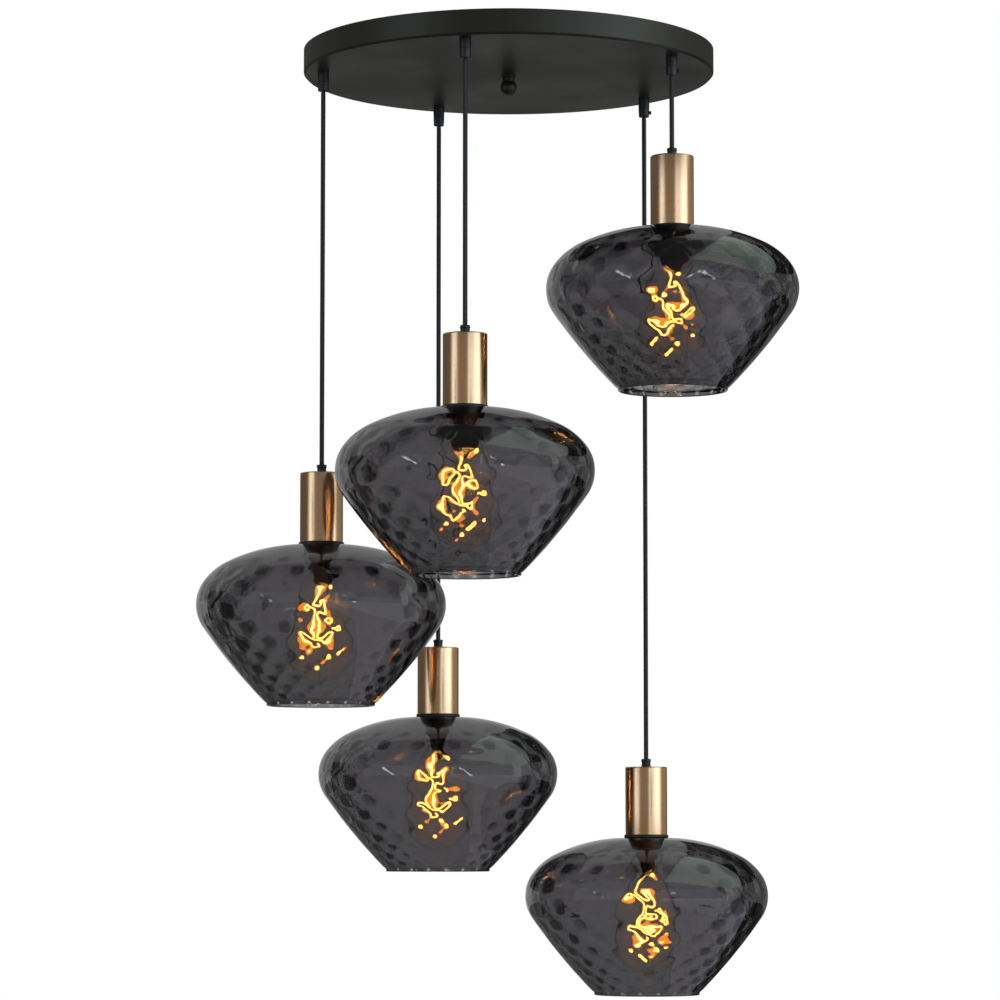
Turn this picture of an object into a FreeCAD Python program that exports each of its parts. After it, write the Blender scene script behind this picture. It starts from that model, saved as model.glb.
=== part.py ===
import FreeCAD, Part
import math
import os
import re

import Sketcher

# Cluster pendant with five lamps, in millimetres and degrees. +Z is up and the origin is the middle
# of the ceiling bracket's top face, on the ceiling. A pendant's own pieces are drawn with z = 0 at
# the top of its cup, and each one is then placed under its cord.

LAMPS = range(1, 6)

# A length below this counts as none
NONE = 1e-6

# Name, size and meaning of each driving dimension. One that follows from others is a formula.
DIMENSIONS = [
    ("pan_radius", 200, "outer radius of the ceiling pan"),
    ("pan_height", 24, "from the ceiling to the pan's underside"),
    ("pan_wall", 1.0, "sheet thickness of the pan"),
    ("pan_bevel", 2.0, "bevel of the pan's lower edge"),
    ("exit_inset", 19, "from the pan's rim in to each cord"),
    ("exit_radius", "=pan_radius - exit_inset", "from the middle of the pan to each cord"),
    ("first_turn", 329, "direction of the first lamp's cord, from +X"),
    ("lamp_step", 72, "turn from one cord to the next"),
    ("cord_radius", 2.25, "round cord"),
    ("cord_gap", 0.3, "free space round a cord in its bore and at its ends"),
    ("nipple_radius", 4.0, "threaded nipple of every cord grip"),
    ("nipple_gap", 0.25, "free space round a nipple in its hole"),
    ("nipple_end", 1.5, "how far a nipple stands out of its nut"),
    ("grip_radius", 5.5, "cord grip under the pan"),
    ("grip_length", 18, "cord grip under the pan"),
    ("grip_bevel", 0.8, "bevel of the cord grips' ends"),
    ("grip_sides", 10, "sides that stand for a round grip"),
    ("nut_radius", 7.0, "across the corners of a grip's nut"),
    ("nut_height", 4.0, "thickness of a nut"),
    ("screw_radius", 1.2, "shank of a clamp screw"),
    ("screw_head", 1.9, "head radius of a clamp screw"),
    ("screw_height", 1.8, "head height of a clamp screw"),
    ("screw_rise", 4.5, "from a grip's mouth up to its clamp screw"),
    ("screw_gap", 0.15, "free space round a clamp screw"),
    ("stud_radius", 3.0, "centre stud"),
    ("stud_gap", 0.4, "free space round the stud in the pan"),
    ("stud_length", 41, "from the bracket's top face to the stud's lower end"),
    ("thread_gap", 0.05, "running fit of the ball nut on the stud"),
    ("washer_radius", 7.0, "washer under the ball nut"),
    ("washer_height", 1.0, "washer under the ball nut"),
    ("collar_radius", 5.9, "neck of the ball nut"),
    ("collar_height", 4.5, "neck of the ball nut"),
    ("ball_radius", 8.0, "ball of the ball nut"),
    ("ball_start", 42, "angle above the ball's middle where its neck meets it"),
    ("bore_end", 1.0, "free space in the ball nut above the stud's end"),
    ("strap_length", 160, "ceiling bracket"),
    ("strap_width", 22, "ceiling bracket"),
    ("strap_height", 2.5, "ceiling bracket"),
    ("slot_spacing", 110, "between the middles of the bracket's slots"),
    ("slot_length", 24, "end to end"),
    ("slot_radius", 2.6, "half the width of a slot"),
    ("block_length", 36, "terminal block along X"),
    ("block_width", 20, "terminal block along Y"),
    ("block_height", 17, "terminal block"),
    ("block_place", 40, "from the stud back to the middle of the terminal block"),
    ("pole_spacing", 11, "between the poles of the terminal block"),
    ("pole_radius", 3.6, "screw well of a pole"),
    ("well_depth", 6, "screw well of a pole"),
    ("block_bevel", 2, "how far the terminal block's sides step in"),
    ("block_slope", 6, "height of the sloped part of the terminal block's sides"),
    ("tail_height", 9, "from the ceiling down to the cord tails in the pan"),
    ("tail_knee", 22, "from the terminal block's face to the corner of a tail's route"),
    ("tail_start", 3, "straight run of a tail out of the terminal block"),
    ("tail_rise", 1, "straight run of a tail above its grip's nut"),
    ("swing_room", 2.5, "from a grip's mouth to the point where its cord bends"),
    ("neck_height", 3.4, "bending point of a cord"),
    ("neck_sides", 8, "sides that stand for a small round piece"),
    ("drop_1", 96, "from the pan down to the first cup"),
    ("drop_2", 277, "from the pan down to the second cup"),
    ("drop_3", 391, "from the pan down to the third cup"),
    ("drop_4", 550, "from the pan down to the fourth cup"),
    ("drop_5", 671, "from the pan down to the fifth cup"),
    ("holder_sides", 16, "sides that stand for a round lampholder or ring"),
    ("cup_sides", 20, "sides that stand for a round cup"),
    ("cup_radius", 20.7, "outside of the cup"),
    ("cup_height", 67, "length of the cup"),
    ("cup_wall", 0.8, "sheet thickness of the cup"),
    ("cup_bevel", 1.0, "bevel of the cup's upper edge"),
    ("top_radius", 4.9, "cord grip on the cup"),
    ("top_height", 8.0, "cord grip on the cup"),
    ("nipple_reach", 9.0, "from the cup's top down to the end of its nipple"),
    ("cord_end", 2.0, "how far the cord stands out of the nipple in the cup"),
    ("entry_depth", 14, "from the cup's top down to the end of the holder's cord entry"),
    ("boss_radius", 7.5, "boss on the lampholder"),
    ("boss_height", 9.0, "boss on the lampholder"),
    ("holder_slope", 6.0, "height of the lampholder's shoulder"),
    ("holder_gap", 1.4, "free space between lampholder and cup"),
    ("flange_radius", 22.0, "flange between cup and glass"),
    ("flange_height", 3.0, "flange between cup and glass"),
    ("skirt_radius", 16.8, "threaded skirt of the lampholder"),
    ("skirt_length", 16, "from the flange down to the skirt's end"),
    ("socket_radius", 14.6, "bore of the lampholder"),
    ("socket_depth", 27.5, "bore of the lampholder"),
    ("shell_wall", 0.5, "threaded shell in the bore"),
    ("shell_gap", 0.1, "free space round the threaded shell"),
    ("shell_length", 20, "threaded shell in the bore"),
    ("contact_radius", 3.5, "centre contact of the lampholder"),
    ("contact_height", 1.5, "centre contact of the lampholder"),
    ("ring_radius", 19.3, "upper end of the shade ring"),
    ("ring_taper", 1.8, "how much less its lower end is"),
    ("ring_height", 11, "shade ring"),
    ("ring_gap", 0.3, "free space between the ring and the skirt"),
    ("shade_sides", 24, "sides that stand for a round shade"),
    ("glass_wall", 3.0, "thickness of the glass"),
    ("glass_gap", 0.8, "free space between the skirt and the hole in the glass"),
    ("shade_radius", 120, "widest part of the shade"),
    ("seat_width", 2.75, "flat seat of the glass round its hole"),
    ("crown_radius", 158, "arc of the shade from the seat outwards"),
    ("crown_turn", 26.5, "slope where the crown ends"),
    ("shoulder_turn", 53, "slope where the shoulder ends"),
    ("belly_radius", 38, "arc round the widest part"),
    ("belly_turn", 124.8, "slope where the belly ends"),
    ("cone_radius", 546, "long arc down to the mouth"),
    ("cone_turn", 134.5, "slope where the cone ends"),
    ("lip_height", 4.4, "rim of the mouth"),
    ("lip_draw", 2.3, "how much narrower the rim is at its lower edge"),
    ("bulb_sides", 12, "sides that stand for the round bulb"),
    ("bulb_radius", 32, "widest part of the bulb"),
    ("bulb_length", 140, "from the cap's contact to the tip"),
    ("bulb_wall", 0.9, "thickness of the bulb's glass"),
    ("bulb_gap", 0.3, "free space between the bulb's contact and the holder's"),
    ("cap_radius", 13.2, "screw cap of the bulb"),
    ("cap_height", 26, "screw cap of the bulb"),
    ("cap_shoulder", 6.5, "from the bulb's contact down to the full width of its cap"),
    ("cap_tip", 5.0, "centre contact of the bulb"),
    ("cap_tip_height", 1.5, "centre contact of the bulb"),
    ("stem_radius", 3.2, "glass stem in the bulb"),
    ("stem_height", 22, "glass stem in the bulb"),
    ("coil_radius", 13, "spiral of the filament"),
    ("coil_height", 70, "spiral of the filament"),
    ("coil_turns", 2.5, "spiral of the filament"),
    ("coil_width", 1.8, "thickness of the filament"),
]

# Each tail in the pan ends at a pole of the terminal block: lamp, pole and face of the block
TAILS = {1: (1, -1), 2: (-1, -1), 3: (-1, 1), 4: (0, 1), 5: (1, 1)}

# Where each clamp screw points, from +X
SCREW_TURNS = {1: 0, 2: 90, 3: 90, 4: 90, 5: 0}

doc = FreeCAD.newDocument("cluster_pendant")
sheet = doc.addObject("Spreadsheet::Sheet", "Sizes")
nodes = {}


def fill_sheet():
    """Writes the driving dimensions to the sheet."""
    for row, (alias, size, meaning) in enumerate(DIMENSIONS, 1):
        sheet.set(f"A{row}", alias)
        sheet.set(f"B{row}", str(size))
        sheet.set(f"C{row}", meaning)
        sheet.setAlias(f"B{row}", alias)
    doc.recompute()


def ref(text):
    """An expression with the sheet's name before each of its aliases."""
    return re.sub(r"\b([a-z]+(?:_[a-z0-9]+)+)\b", r"Sizes.\1", str(text))


def number(text):
    """The value of an expression in the sheet's aliases."""
    return float(sheet.evalExpression(str(text)))


def bind(thing, **sizes):
    """Ties properties of an object to expressions."""
    for name, text in sizes.items():
        thing.setExpression(name.replace("__", "."), ref(text))
    return thing


def place(thing, x="0", y="0", z="0", turn="0"):
    """Ties an object's place, and its turn about +Z, to expressions."""
    bind(thing, Placement__Base__x=x, Placement__Base__y=y, Placement__Base__z=z)
    bind(thing, Placement__Rotation__Yaw=turn)
    return thing


def lamp_turn(lamp):
    """Direction of a lamp's cord."""
    return f"(first_turn - {lamp - 1} * lamp_step)"


def under_cord(thing, lamp, z="0"):
    """Places an object on the axis of a lamp's cord."""
    turn = lamp_turn(lamp)
    return place(thing, f"exit_radius * cos({turn})", f"exit_radius * sin({turn})", z)


def on_cup(thing, lamp):
    """Places an object that is drawn from the top of its cup."""
    return under_cord(thing, lamp, f"-pan_height - drop_{lamp}")


def keep(name, thing):
    """Makes an object a sub-part under its own name."""
    thing.Label = name
    nodes[name] = thing
    return thing


def add(kind, name, **sizes):
    """A new object of the document with bound sizes."""
    return bind(doc.addObject(kind, name), **sizes)


def cut(base, tool):
    """The base without the tool."""
    result = doc.addObject("Part::Cut", "cut")
    result.Base = base
    result.Tool = tool
    return result


def group(parts):
    """Several solids in one object."""
    result = doc.addObject("Part::Compound", "group")
    result.Links = parts
    return result


def prism(sides, radius, bottom, height):
    """An upright prism that stands for a round form, from its lower end upwards."""
    form = add("Part::Prism", "prism", Polygon=sides, Circumradius=radius, Height=height)
    return place(form, z=bottom)


def fused(parts):
    """One solid of several."""
    result = doc.addObject("Part::MultiFuse", "fused")
    result.Shapes = parts
    result.Refine = True
    return result


def tube(sides, radius, bore, bottom, height):
    """An upright tube that stands for a round one."""
    return cut(prism(sides, radius, bottom, height), prism(sides, bore, bottom, height))


def flat_face(points, hole=()):
    """A flat face round a list of points, with a hole if it has one."""
    wires = [Part.makePolygon([*loop, loop[0]]) for loop in (points, hole) if loop]
    return Part.makeFace(wires, "Part::FaceMakerBullseye")


def close_solid(faces):
    """The solid inside a set of faces."""
    shell = Part.makeShell(faces)
    shell.sewShape()
    solid = Part.makeSolid(shell)
    if solid.Volume < 0:
        solid.reverse()
    return solid


def level_ring(radius, height, sides):
    """The corners of a level polygon, or its middle where it has no radius."""
    if radius < NONE:
        return [FreeCAD.Vector(0, 0, height)]
    corners = []
    for step in range(sides):
        turn = 2 * math.pi * step / sides
        corners.append(FreeCAD.Vector(radius * math.cos(turn), radius * math.sin(turn), height))
    return corners


def band(upper, lower):
    """The faces between two polygons, one of which may be a single point."""
    if len(upper) == 1 and len(lower) == 1:
        return []
    if abs(upper[0].z - lower[0].z) < NONE:
        wide, narrow = sorted((upper, lower), key=lambda ring: -ring[0].Length)
        return [flat_face(wide, narrow if len(narrow) > 1 else ())]
    faces = []
    for step in range(max(len(upper), len(lower))):
        corners = []
        for ring, places in ((upper, (step, step + 1)), (lower, (step + 1, step))):
            corners += [ring[at % len(ring)] for at in (places if len(ring) > 1 else (0,))]
        faces.append(flat_face(corners))
    return faces


def turned(outline, sides):
    """A turned form with flat sides, from a closed outline of (radius, height).

    Five lamps of round pieces would have far too many facets, so what repeats is made this way.
    """
    count = int(number(sides))
    rings = [level_ring(number(radius), number(height), count) for radius, height in outline]
    faces = []
    for upper, lower in zip(rings, rings[1:] + rings[:1]):
        faces += band(upper, lower)
    form = doc.addObject("Part::Feature", "turned")
    form.Shape = close_solid(faces)
    return form


def plane(body, role):
    """One of a body's own origin planes."""
    return next(p for p in body.Origin.OriginFeatures if p.Role == role)


def new_sketch(body, role, name):
    """A sketch on an origin plane of its body."""
    sketch = body.newObject("Sketcher::SketchObject", name)
    sketch.AttachmentSupport = [(plane(body, role), "")]
    sketch.MapMode = "FlatFace"
    return sketch


def fix(sketch, kind, edge, end, text):
    """Ties one coordinate of a point in a sketch to an expression."""
    index = sketch.addConstraint(
        Sketcher.Constraint(kind, -1, 1, edge, end, number(text))
    )
    sketch.setExpression(f"Constraints[{index}]", ref(text))


def draw_outline(sketch, corners):
    """Draws a closed outline through corners of (x, y) expressions."""
    first = sketch.GeometryCount
    points = [FreeCAD.Vector(number(x), number(y), 0) for x, y in corners]
    for start, end in zip(points, points[1:] + points[:1]):
        sketch.addGeometry(Part.LineSegment(start, end), False)
    for step, (x, y) in enumerate(corners):
        edge = first + step
        after = first + (step + 1) % len(corners)
        sketch.addConstraint(Sketcher.Constraint("Coincident", edge, 2, after, 1))
        fix(sketch, "DistanceX", edge, 1, x)
        fix(sketch, "DistanceY", edge, 1, y)


def draw_circle(sketch, x, y, radius):
    """Draws a circle whose middle and radius are expressions."""
    middle = FreeCAD.Vector(number(x), number(y), 0)
    normal = FreeCAD.Vector(0, 0, 1)
    edge = sketch.addGeometry(Part.Circle(middle, normal, number(radius)), False)
    fix(sketch, "DistanceX", edge, 3, x)
    fix(sketch, "DistanceY", edge, 3, y)
    index = sketch.addConstraint(Sketcher.Constraint("Radius", edge, number(radius)))
    sketch.setExpression(f"Constraints[{index}]", ref(radius))


def draw_slot(sketch, x, length, radius):
    """Draws a slot along X about the point x, with round ends."""
    reach = f"({length} / 2 - {radius})"
    normal = FreeCAD.Vector(0, 0, 1)
    ends = []
    for side, start in ((1, -90), (-1, 90)):
        middle = FreeCAD.Vector(number(f"{x} + {side} * {reach}"), 0, 0)
        circle = Part.Circle(middle, normal, number(radius))
        arc = Part.ArcOfCircle(circle, math.radians(start), math.radians(start + 180))
        edge = sketch.addGeometry(arc, False)
        fix(sketch, "DistanceX", edge, 3, f"{x} + {side} * {reach}")
        fix(sketch, "DistanceY", edge, 3, "0")
        ends.append(edge)
    right, left = ends
    for first, second in ((right, left), (left, right)):
        start = sketch.Geometry[first].EndPoint
        end = sketch.Geometry[second].StartPoint
        side = sketch.addGeometry(Part.LineSegment(start, end), False)
        sketch.addConstraint(Sketcher.Constraint("Tangent", first, 2, side, 1))
        sketch.addConstraint(Sketcher.Constraint("Tangent", side, 2, second, 1))
    index = sketch.addConstraint(Sketcher.Constraint("Radius", right, number(radius)))
    sketch.setExpression(f"Constraints[{index}]", ref(radius))


def new_body(name):
    """An empty body."""
    return doc.addObject("PartDesign::Body", name)


def revolve(body, corners):
    """Turns an outline of (radius, height) about the body's Z axis."""
    sketch = new_sketch(body, "XZ_Plane", "outline")
    draw_outline(sketch, corners)
    feature = body.newObject("PartDesign::Revolution", "turn")
    feature.Profile = sketch
    feature.ReferenceAxis = (sketch, ["V_Axis"])
    feature.Angle = 360
    return feature


def pad(body, role, draw, length):
    """Pads what draw puts on a sketch."""
    sketch = new_sketch(body, role, "plan")
    draw(sketch)
    feature = body.newObject("PartDesign::Pad", "pad")
    feature.Profile = sketch
    bind(feature, Length=length)
    return feature


def drill(body, role, draw):
    """Cuts what draw puts on a sketch through the body, both ways."""
    sketch = new_sketch(body, role, "holes")
    draw(sketch)
    feature = body.newObject("PartDesign::Pocket", "drill")
    feature.Profile = sketch
    feature.Type = "ThroughAll"
    feature.Midplane = True
    return feature


def ceiling_plate():
    """The sheet-metal pan, open at the top, with a hole for the stud and one for each cord grip."""
    body = new_body("pan")
    revolve(
        body,
        [
            ("0", "-pan_height"),
            ("pan_radius - pan_bevel", "-pan_height"),
            ("pan_radius", "-pan_height + pan_bevel"),
            ("pan_radius", "0"),
            ("pan_radius - pan_wall", "0"),
            ("pan_radius - pan_wall", "-pan_height + pan_bevel"),
            ("pan_radius - pan_bevel - pan_wall", "-pan_height + pan_wall"),
            ("0", "-pan_height + pan_wall"),
        ],
    )

    def holes(sketch):
        draw_circle(sketch, "0", "0", "stud_radius + stud_gap")
        for lamp in LAMPS:
            turn = lamp_turn(lamp)
            x = f"exit_radius * cos({turn})"
            y = f"exit_radius * sin({turn})"
            draw_circle(sketch, x, y, "nipple_radius + nipple_gap")

    drill(body, "XY_Plane", holes)
    keep("ceiling_plate", body)


def mounting_bracket():
    """The steel strap on the ceiling, with two slots for screws and a threaded hole for the stud."""
    body = new_body("strap")

    def plan(sketch):
        x = "strap_length / 2"
        y = "strap_width / 2"
        draw_outline(sketch, [(x, y), (f"-{x}", y), (f"-{x}", f"-{y}"), (x, f"-{y}")])

    pad(body, "XY_Plane", plan, "strap_height").Reversed = True

    def holes(sketch):
        draw_circle(sketch, "0", "0", "stud_radius + thread_gap")
        for side in (1, -1):
            draw_slot(sketch, f"{side} * slot_spacing / 2", "slot_length", "slot_radius")

    drill(body, "XY_Plane", holes)
    keep("mounting_bracket", body)


def centre_stud():
    """The threaded stud that hangs from the bracket and carries the ball nut."""
    stud = add("Part::Cylinder", "stud", Radius="stud_radius", Height="stud_length")
    keep("centre_stud", place(stud, z="-stud_length"))


def hex_nut(bore, x, y, z):
    """A hexagon nut with its lower face at z."""
    nut = cut(prism(6, "nut_radius", "0", "nut_height"), prism("grip_sides", bore, "0", "nut_height"))
    return place(nut, x, y, z)


def lock_nuts():
    """The nut that locks the stud under the bracket and the nuts that hold the grips in the pan."""
    bore = "(stud_radius + thread_gap) / cos(180 / grip_sides)"
    nuts = [hex_nut(bore, "0", "0", "-strap_height - nut_height")]
    for lamp in LAMPS:
        x = f"exit_radius * cos({lamp_turn(lamp)})"
        y = f"exit_radius * sin({lamp_turn(lamp)})"
        nuts.append(
            hex_nut("nipple_radius + nipple_gap", x, y, "-pan_height + pan_wall")
        )
    keep("lock_nuts", group(nuts))


def knob_washer():
    """The washer between the pan and the ball nut."""
    bottom = "-pan_height - washer_height"
    bore = "stud_radius + stud_gap"
    keep("knob_washer", tube("holder_sides", "washer_radius", bore, bottom, "washer_height"))


def ball_nut():
    """The ball-shaped nut under the pan, with its neck and its blind threaded bore."""
    top = "-pan_height - washer_height"
    neck = f"{top} - collar_height"
    middle = f"{neck} - ball_radius * sin(ball_start)"
    bore = "(stud_radius + thread_gap) / cos(180 / holder_sides)"
    end = "-stud_length - bore_end"
    outline = [(bore, top), ("collar_radius", top), ("collar_radius", neck)]
    for step in range(1, 5):
        turn = f"(ball_start - (ball_start + 90) * {step} / 5)"
        outline.append((f"ball_radius * cos({turn})", f"{middle} + ball_radius * sin({turn})"))
    outline += [("0", f"{middle} - ball_radius"), ("0", end), (bore, end)]
    keep("ball_nut", turned(outline, "holder_sides"))


def plate_grip(lamp):
    """A cord grip under the pan: body, threaded nipple through the pan, bore and screw hole."""
    mouth = "-pan_height - grip_length"
    top = "-pan_height + pan_wall + nut_height + nipple_end"
    bore = "cord_radius + cord_gap"
    grip = turned(
        [
            (bore, mouth),
            ("grip_radius - grip_bevel", mouth),
            ("grip_radius", f"{mouth} + grip_bevel"),
            ("grip_radius", "-pan_height"),
            ("nipple_radius", "-pan_height"),
            ("nipple_radius", top),
            (bore, top),
        ],
        "grip_sides",
    )
    hole = prism("neck_sides", "screw_radius + screw_gap", "0", "grip_radius")
    point_sideways(hole, lamp)
    return under_cord(cut(grip, hole), lamp)


def point_sideways(thing, lamp):
    """Turns what is drawn upwards so that it points out of a grip at its clamp screw."""
    level = FreeCAD.Rotation(FreeCAD.Vector(0, 1, 0), 90)
    turn = FreeCAD.Rotation(FreeCAD.Vector(0, 0, 1), SCREW_TURNS[lamp])
    thing.Placement.Rotation = turn.multiply(level)
    bind(thing, Placement__Base__z="-pan_height - grip_length + screw_rise")


def clamp_screw(lamp):
    """The small screw that clamps the cord in a grip: shank and head, pointing sideways."""
    seat = "grip_radius + screw_gap"
    shank = prism("neck_sides", "screw_radius", "cord_radius + cord_gap", "grip_radius - cord_radius")
    head = prism("neck_sides", "screw_head", seat, "screw_height")
    screw = fused([shank, head])
    point_sideways(screw, lamp)
    holder = group([screw])
    return under_cord(holder, lamp)


def terminal_block():
    """The terminal block on the pan's floor: three poles, each with two screw wells."""
    body = new_body("block")
    side = "block_length / 2"
    shoulder = "pole_spacing * 1.5 - block_bevel"
    floor = "-pan_height + pan_wall"
    top = f"{floor} + block_height"

    def profile(sketch):
        low = f"{top} - block_slope"
        right = [(side, floor), (side, low), (shoulder, top)]
        left = [(f"-({x})", z) for x, z in right[::-1]]
        draw_outline(sketch, right + left)

    pad(body, "XZ_Plane", profile, "block_width").Midplane = True
    wells = []
    for pole in (-1, 0, 1):
        for row in (-1, 1):
            well = prism("neck_sides", "pole_radius / 2", f"{top} - well_depth", "well_depth")
            wells.append(place(well, f"{pole} * pole_spacing", f"{row} * block_width / 4"))
            bind(well, Placement__Base__z=f"{top} - well_depth")
    keep("terminal_block", place(cut(body, group(wells)), y="block_place"))


def corner_arc(before, corner, after, reach):
    """The arc that rounds a corner of a path from a reach before it to a reach after it."""
    back = (before - corner).normalize()
    ahead = (after - corner).normalize()
    half = back.getAngle(ahead) / 2
    radius = reach * math.tan(half)
    start = corner + back * reach
    end = corner + ahead * reach
    centre = corner + (back + ahead).normalize() * (radius / math.sin(half))
    middle = centre + (corner - centre).normalize() * radius
    return start, Part.Arc(start, middle, end).toShape(), end


def round_path(points, reaches):
    """A wire of straight runs joined by tangent arcs."""
    edges, at = [], points[0]
    for before, corner, after, reach in zip(points, points[1:], points[2:], reaches):
        start, arc, end = corner_arc(before, corner, after, reach)
        edges += [Part.LineSegment(at, start).toShape(), arc]
        at = end
    edges.append(Part.LineSegment(at, points[-1]).toShape())
    return Part.Wire(edges)


def sweep(path, radius, sides):
    """A solid along a path, with a regular polygon as its section."""
    edge = path.Edges[0]
    start = edge.valueAt(edge.FirstParameter)
    ahead = edge.tangentAt(edge.FirstParameter)
    turn = FreeCAD.Rotation(FreeCAD.Vector(0, 0, 1), ahead)
    corners = []
    for step in range(sides + 1):
        angle = 2 * math.pi * (step % sides + 0.5) / sides
        flat = FreeCAD.Vector(radius * math.cos(angle), radius * math.sin(angle), 0)
        corners.append(start + turn.multVec(flat))
    section = Part.makePolygon(corners)
    return path.makePipeShell([section], True, False, 1)


def cord_tail(lamp):
    """The end of a cord in the pan, from its grip's mouth to its pole of the terminal block."""
    angle = math.radians(number(lamp_turn(lamp)))
    reach = number("exit_radius")
    x, y = reach * math.cos(angle), reach * math.sin(angle)
    mouth = -number("pan_height + grip_length")
    height = -number("tail_height")
    pole, face = TAILS[lamp]
    end_x = pole * number("pole_spacing")
    end_y = number("block_place") + face * number("block_width / 2")
    knee_y = end_y + face * number("tail_knee")
    points = [
        FreeCAD.Vector(x, y, mouth),
        FreeCAD.Vector(x, y, height),
        FreeCAD.Vector(end_x, knee_y, height),
        FreeCAD.Vector(end_x, end_y, height),
    ]
    clear = number("pan_height - tail_height - pan_wall - nut_height - tail_rise")
    path = round_path(points, [clear, number("tail_knee - tail_start")])
    bends = [edge.Curve.Radius for edge in path.Edges[1::2]]
    print(f"tail {lamp}: {path.Length:.1f} mm, tightest bend {min(bends):.1f} mm")
    return sweep(path, number("cord_radius"), 6)


def cord_tails():
    """The five cord ends that lie in the pan."""
    feature = doc.addObject("Part::Feature", "tails")
    feature.Shape = Part.makeCompound([cord_tail(lamp) for lamp in LAMPS])
    keep("cord_tails", feature)


def pivot():
    """Height of the point where a cord bends."""
    return "(-pan_height - grip_length - swing_room)"


def cord_neck(lamp):
    """The short bending point of a cord, just under its grip's mouth."""
    bottom = f"{pivot()} - neck_height / 2"
    neck = prism("neck_sides", "cord_radius", "0", "neck_height")
    keep(f"cord_neck_{lamp}", under_cord(neck, lamp, bottom))


def cord(lamp):
    """The free stretch of a cord, from its bending point to the grip on the cup."""
    bottom = f"(-pan_height - drop_{lamp} + top_height)"
    run = prism("neck_sides", "cord_radius", "0", f"{pivot()} - swing_room - {bottom}")
    keep(f"cord_{lamp}", under_cord(run, lamp, bottom))


def cup_grip():
    """The cord grip on the cup, with its nipple, and the cord's end in it."""
    bore = "cord_radius + cord_gap"
    grip = turned(
        [
            (bore, "top_height"),
            ("top_radius - grip_bevel", "top_height"),
            ("top_radius", "top_height - grip_bevel"),
            ("top_radius", "0"),
            ("nipple_radius", "0"),
            ("nipple_radius", "-nipple_reach"),
            (bore, "-nipple_reach"),
        ],
        "grip_sides",
    )
    bottom = "-nipple_reach - cord_end"
    end = prism("neck_sides", "cord_radius", bottom, f"top_height - ({bottom})")
    return group([grip, end])


def holder_cup():
    """The brass cup, open below, with a hole for the nipple."""
    hole = "nipple_radius + nipple_gap"
    return turned(
        [
            (hole, "0"),
            ("cup_radius - cup_bevel", "0"),
            ("cup_radius", "-cup_bevel"),
            ("cup_radius", "-cup_height"),
            ("cup_radius - cup_wall", "-cup_height"),
            ("cup_radius - cup_wall", "-cup_wall"),
            (hole, "-cup_wall"),
        ],
        "cup_sides",
    )


def lampholder():
    """The lampholder: its body with boss, flange and threaded skirt, its shell and its contact."""
    inner = "cup_radius - cup_wall - holder_gap"
    shoulder = "-cup_wall - boss_height"
    flange = "-cup_height - flange_height"
    end = f"({flange} - skirt_length)"
    top = f"({end} + socket_depth)"
    entry = "nipple_radius + nipple_gap"
    body = turned(
        [
            (entry, "-cup_wall"),
            ("boss_radius", "-cup_wall"),
            ("boss_radius", shoulder),
            (inner, f"{shoulder} - holder_slope"),
            (inner, "-cup_height"),
            ("flange_radius", "-cup_height"),
            ("flange_radius", flange),
            ("skirt_radius", flange),
            ("skirt_radius", end),
            ("socket_radius", end),
            ("socket_radius", top),
            ("0", top),
            ("0", "-entry_depth"),
            (entry, "-entry_depth"),
        ],
        "holder_sides",
    )
    outer = "(socket_radius - shell_gap)"
    bore = f"{outer} - shell_wall"
    shell = tube("holder_sides", outer, bore, f"{top} - shell_length", "shell_length")
    contact = prism("neck_sides", "contact_radius", f"{top} - contact_height", "contact_height")
    return group([body, shell, contact])


def shade_ring():
    """The tapered ring that is screwed on the skirt and holds the glass up."""
    top = "-cup_height - flange_height - glass_wall"
    bottom = f"{top} - ring_height"
    bore = "skirt_radius + ring_gap"
    return turned(
        [
            (bore, top),
            ("ring_radius", top),
            ("ring_radius - ring_taper", bottom),
            (bore, bottom),
        ],
        "holder_sides",
    )


def shade_outline(wall, steps):
    """Points down the shade from the end of its flat seat, on arcs that are each tangent to the next.

    The shoulder's radius follows from the seat, the widest part and the arcs beside it. A wall
    moves every arc inwards by the same amount, which keeps them tangent.
    """
    seat = "(skirt_radius + glass_gap + seat_width)"
    spread = "(sin(shoulder_turn) - sin(crown_turn))"
    beside = "(crown_radius * sin(crown_turn) + belly_radius * (1 - sin(shoulder_turn)))"
    shoulder = f"((shade_radius - {seat} - {beside}) / {spread})"
    arcs = [
        ("crown_radius", "0", "crown_turn"),
        (shoulder, "crown_turn", "shoulder_turn"),
        ("belly_radius", "shoulder_turn", "90"),
        ("belly_radius", "90", "belly_turn"),
        ("cone_radius", "belly_turn", "cone_turn"),
    ]
    x = seat
    z = "-crown_radius"
    points = [(x, f"-({wall})")]
    for place_in_row, (radius, start, end) in enumerate(arcs):
        count = steps[place_in_row]
        for step in range(1, count + 1):
            turn = f"({start} + ({end} - {start}) * {step} / {count})"
            reach = f"({radius} - {wall})"
            points.append((f"{x} + {reach} * sin({turn})", f"{z} + {reach} * cos({turn})"))
        if place_in_row + 1 < len(arcs):
            change = f"({radius} - {arcs[place_in_row + 1][0]})"
            x = f"{x} + {change} * sin({end})"
            z = f"{z} + {change} * cos({end})"
    return points


def glass_shade():
    """The blown shade: flat seat with a hole at the top, wide shoulders, narrow mouth with a rim."""
    hole = "skirt_radius + glass_gap"
    outer = shade_outline("0", (2, 2, 2, 2, 1))
    inner = shade_outline("glass_wall", (2, 1, 1, 1, 1))
    mouth = f"{outer[-1][1]} - lip_height"
    rim = f"{outer[-1][0]} - lip_draw"
    outline = [(hole, "0")] + outer
    outline += [(rim, mouth), (f"{rim} - glass_wall", mouth)]
    outline += inner[::-1] + [(hole, "-glass_wall")]
    return place(turned(outline, "shade_sides"), z="-cup_height - flange_height")


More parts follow.
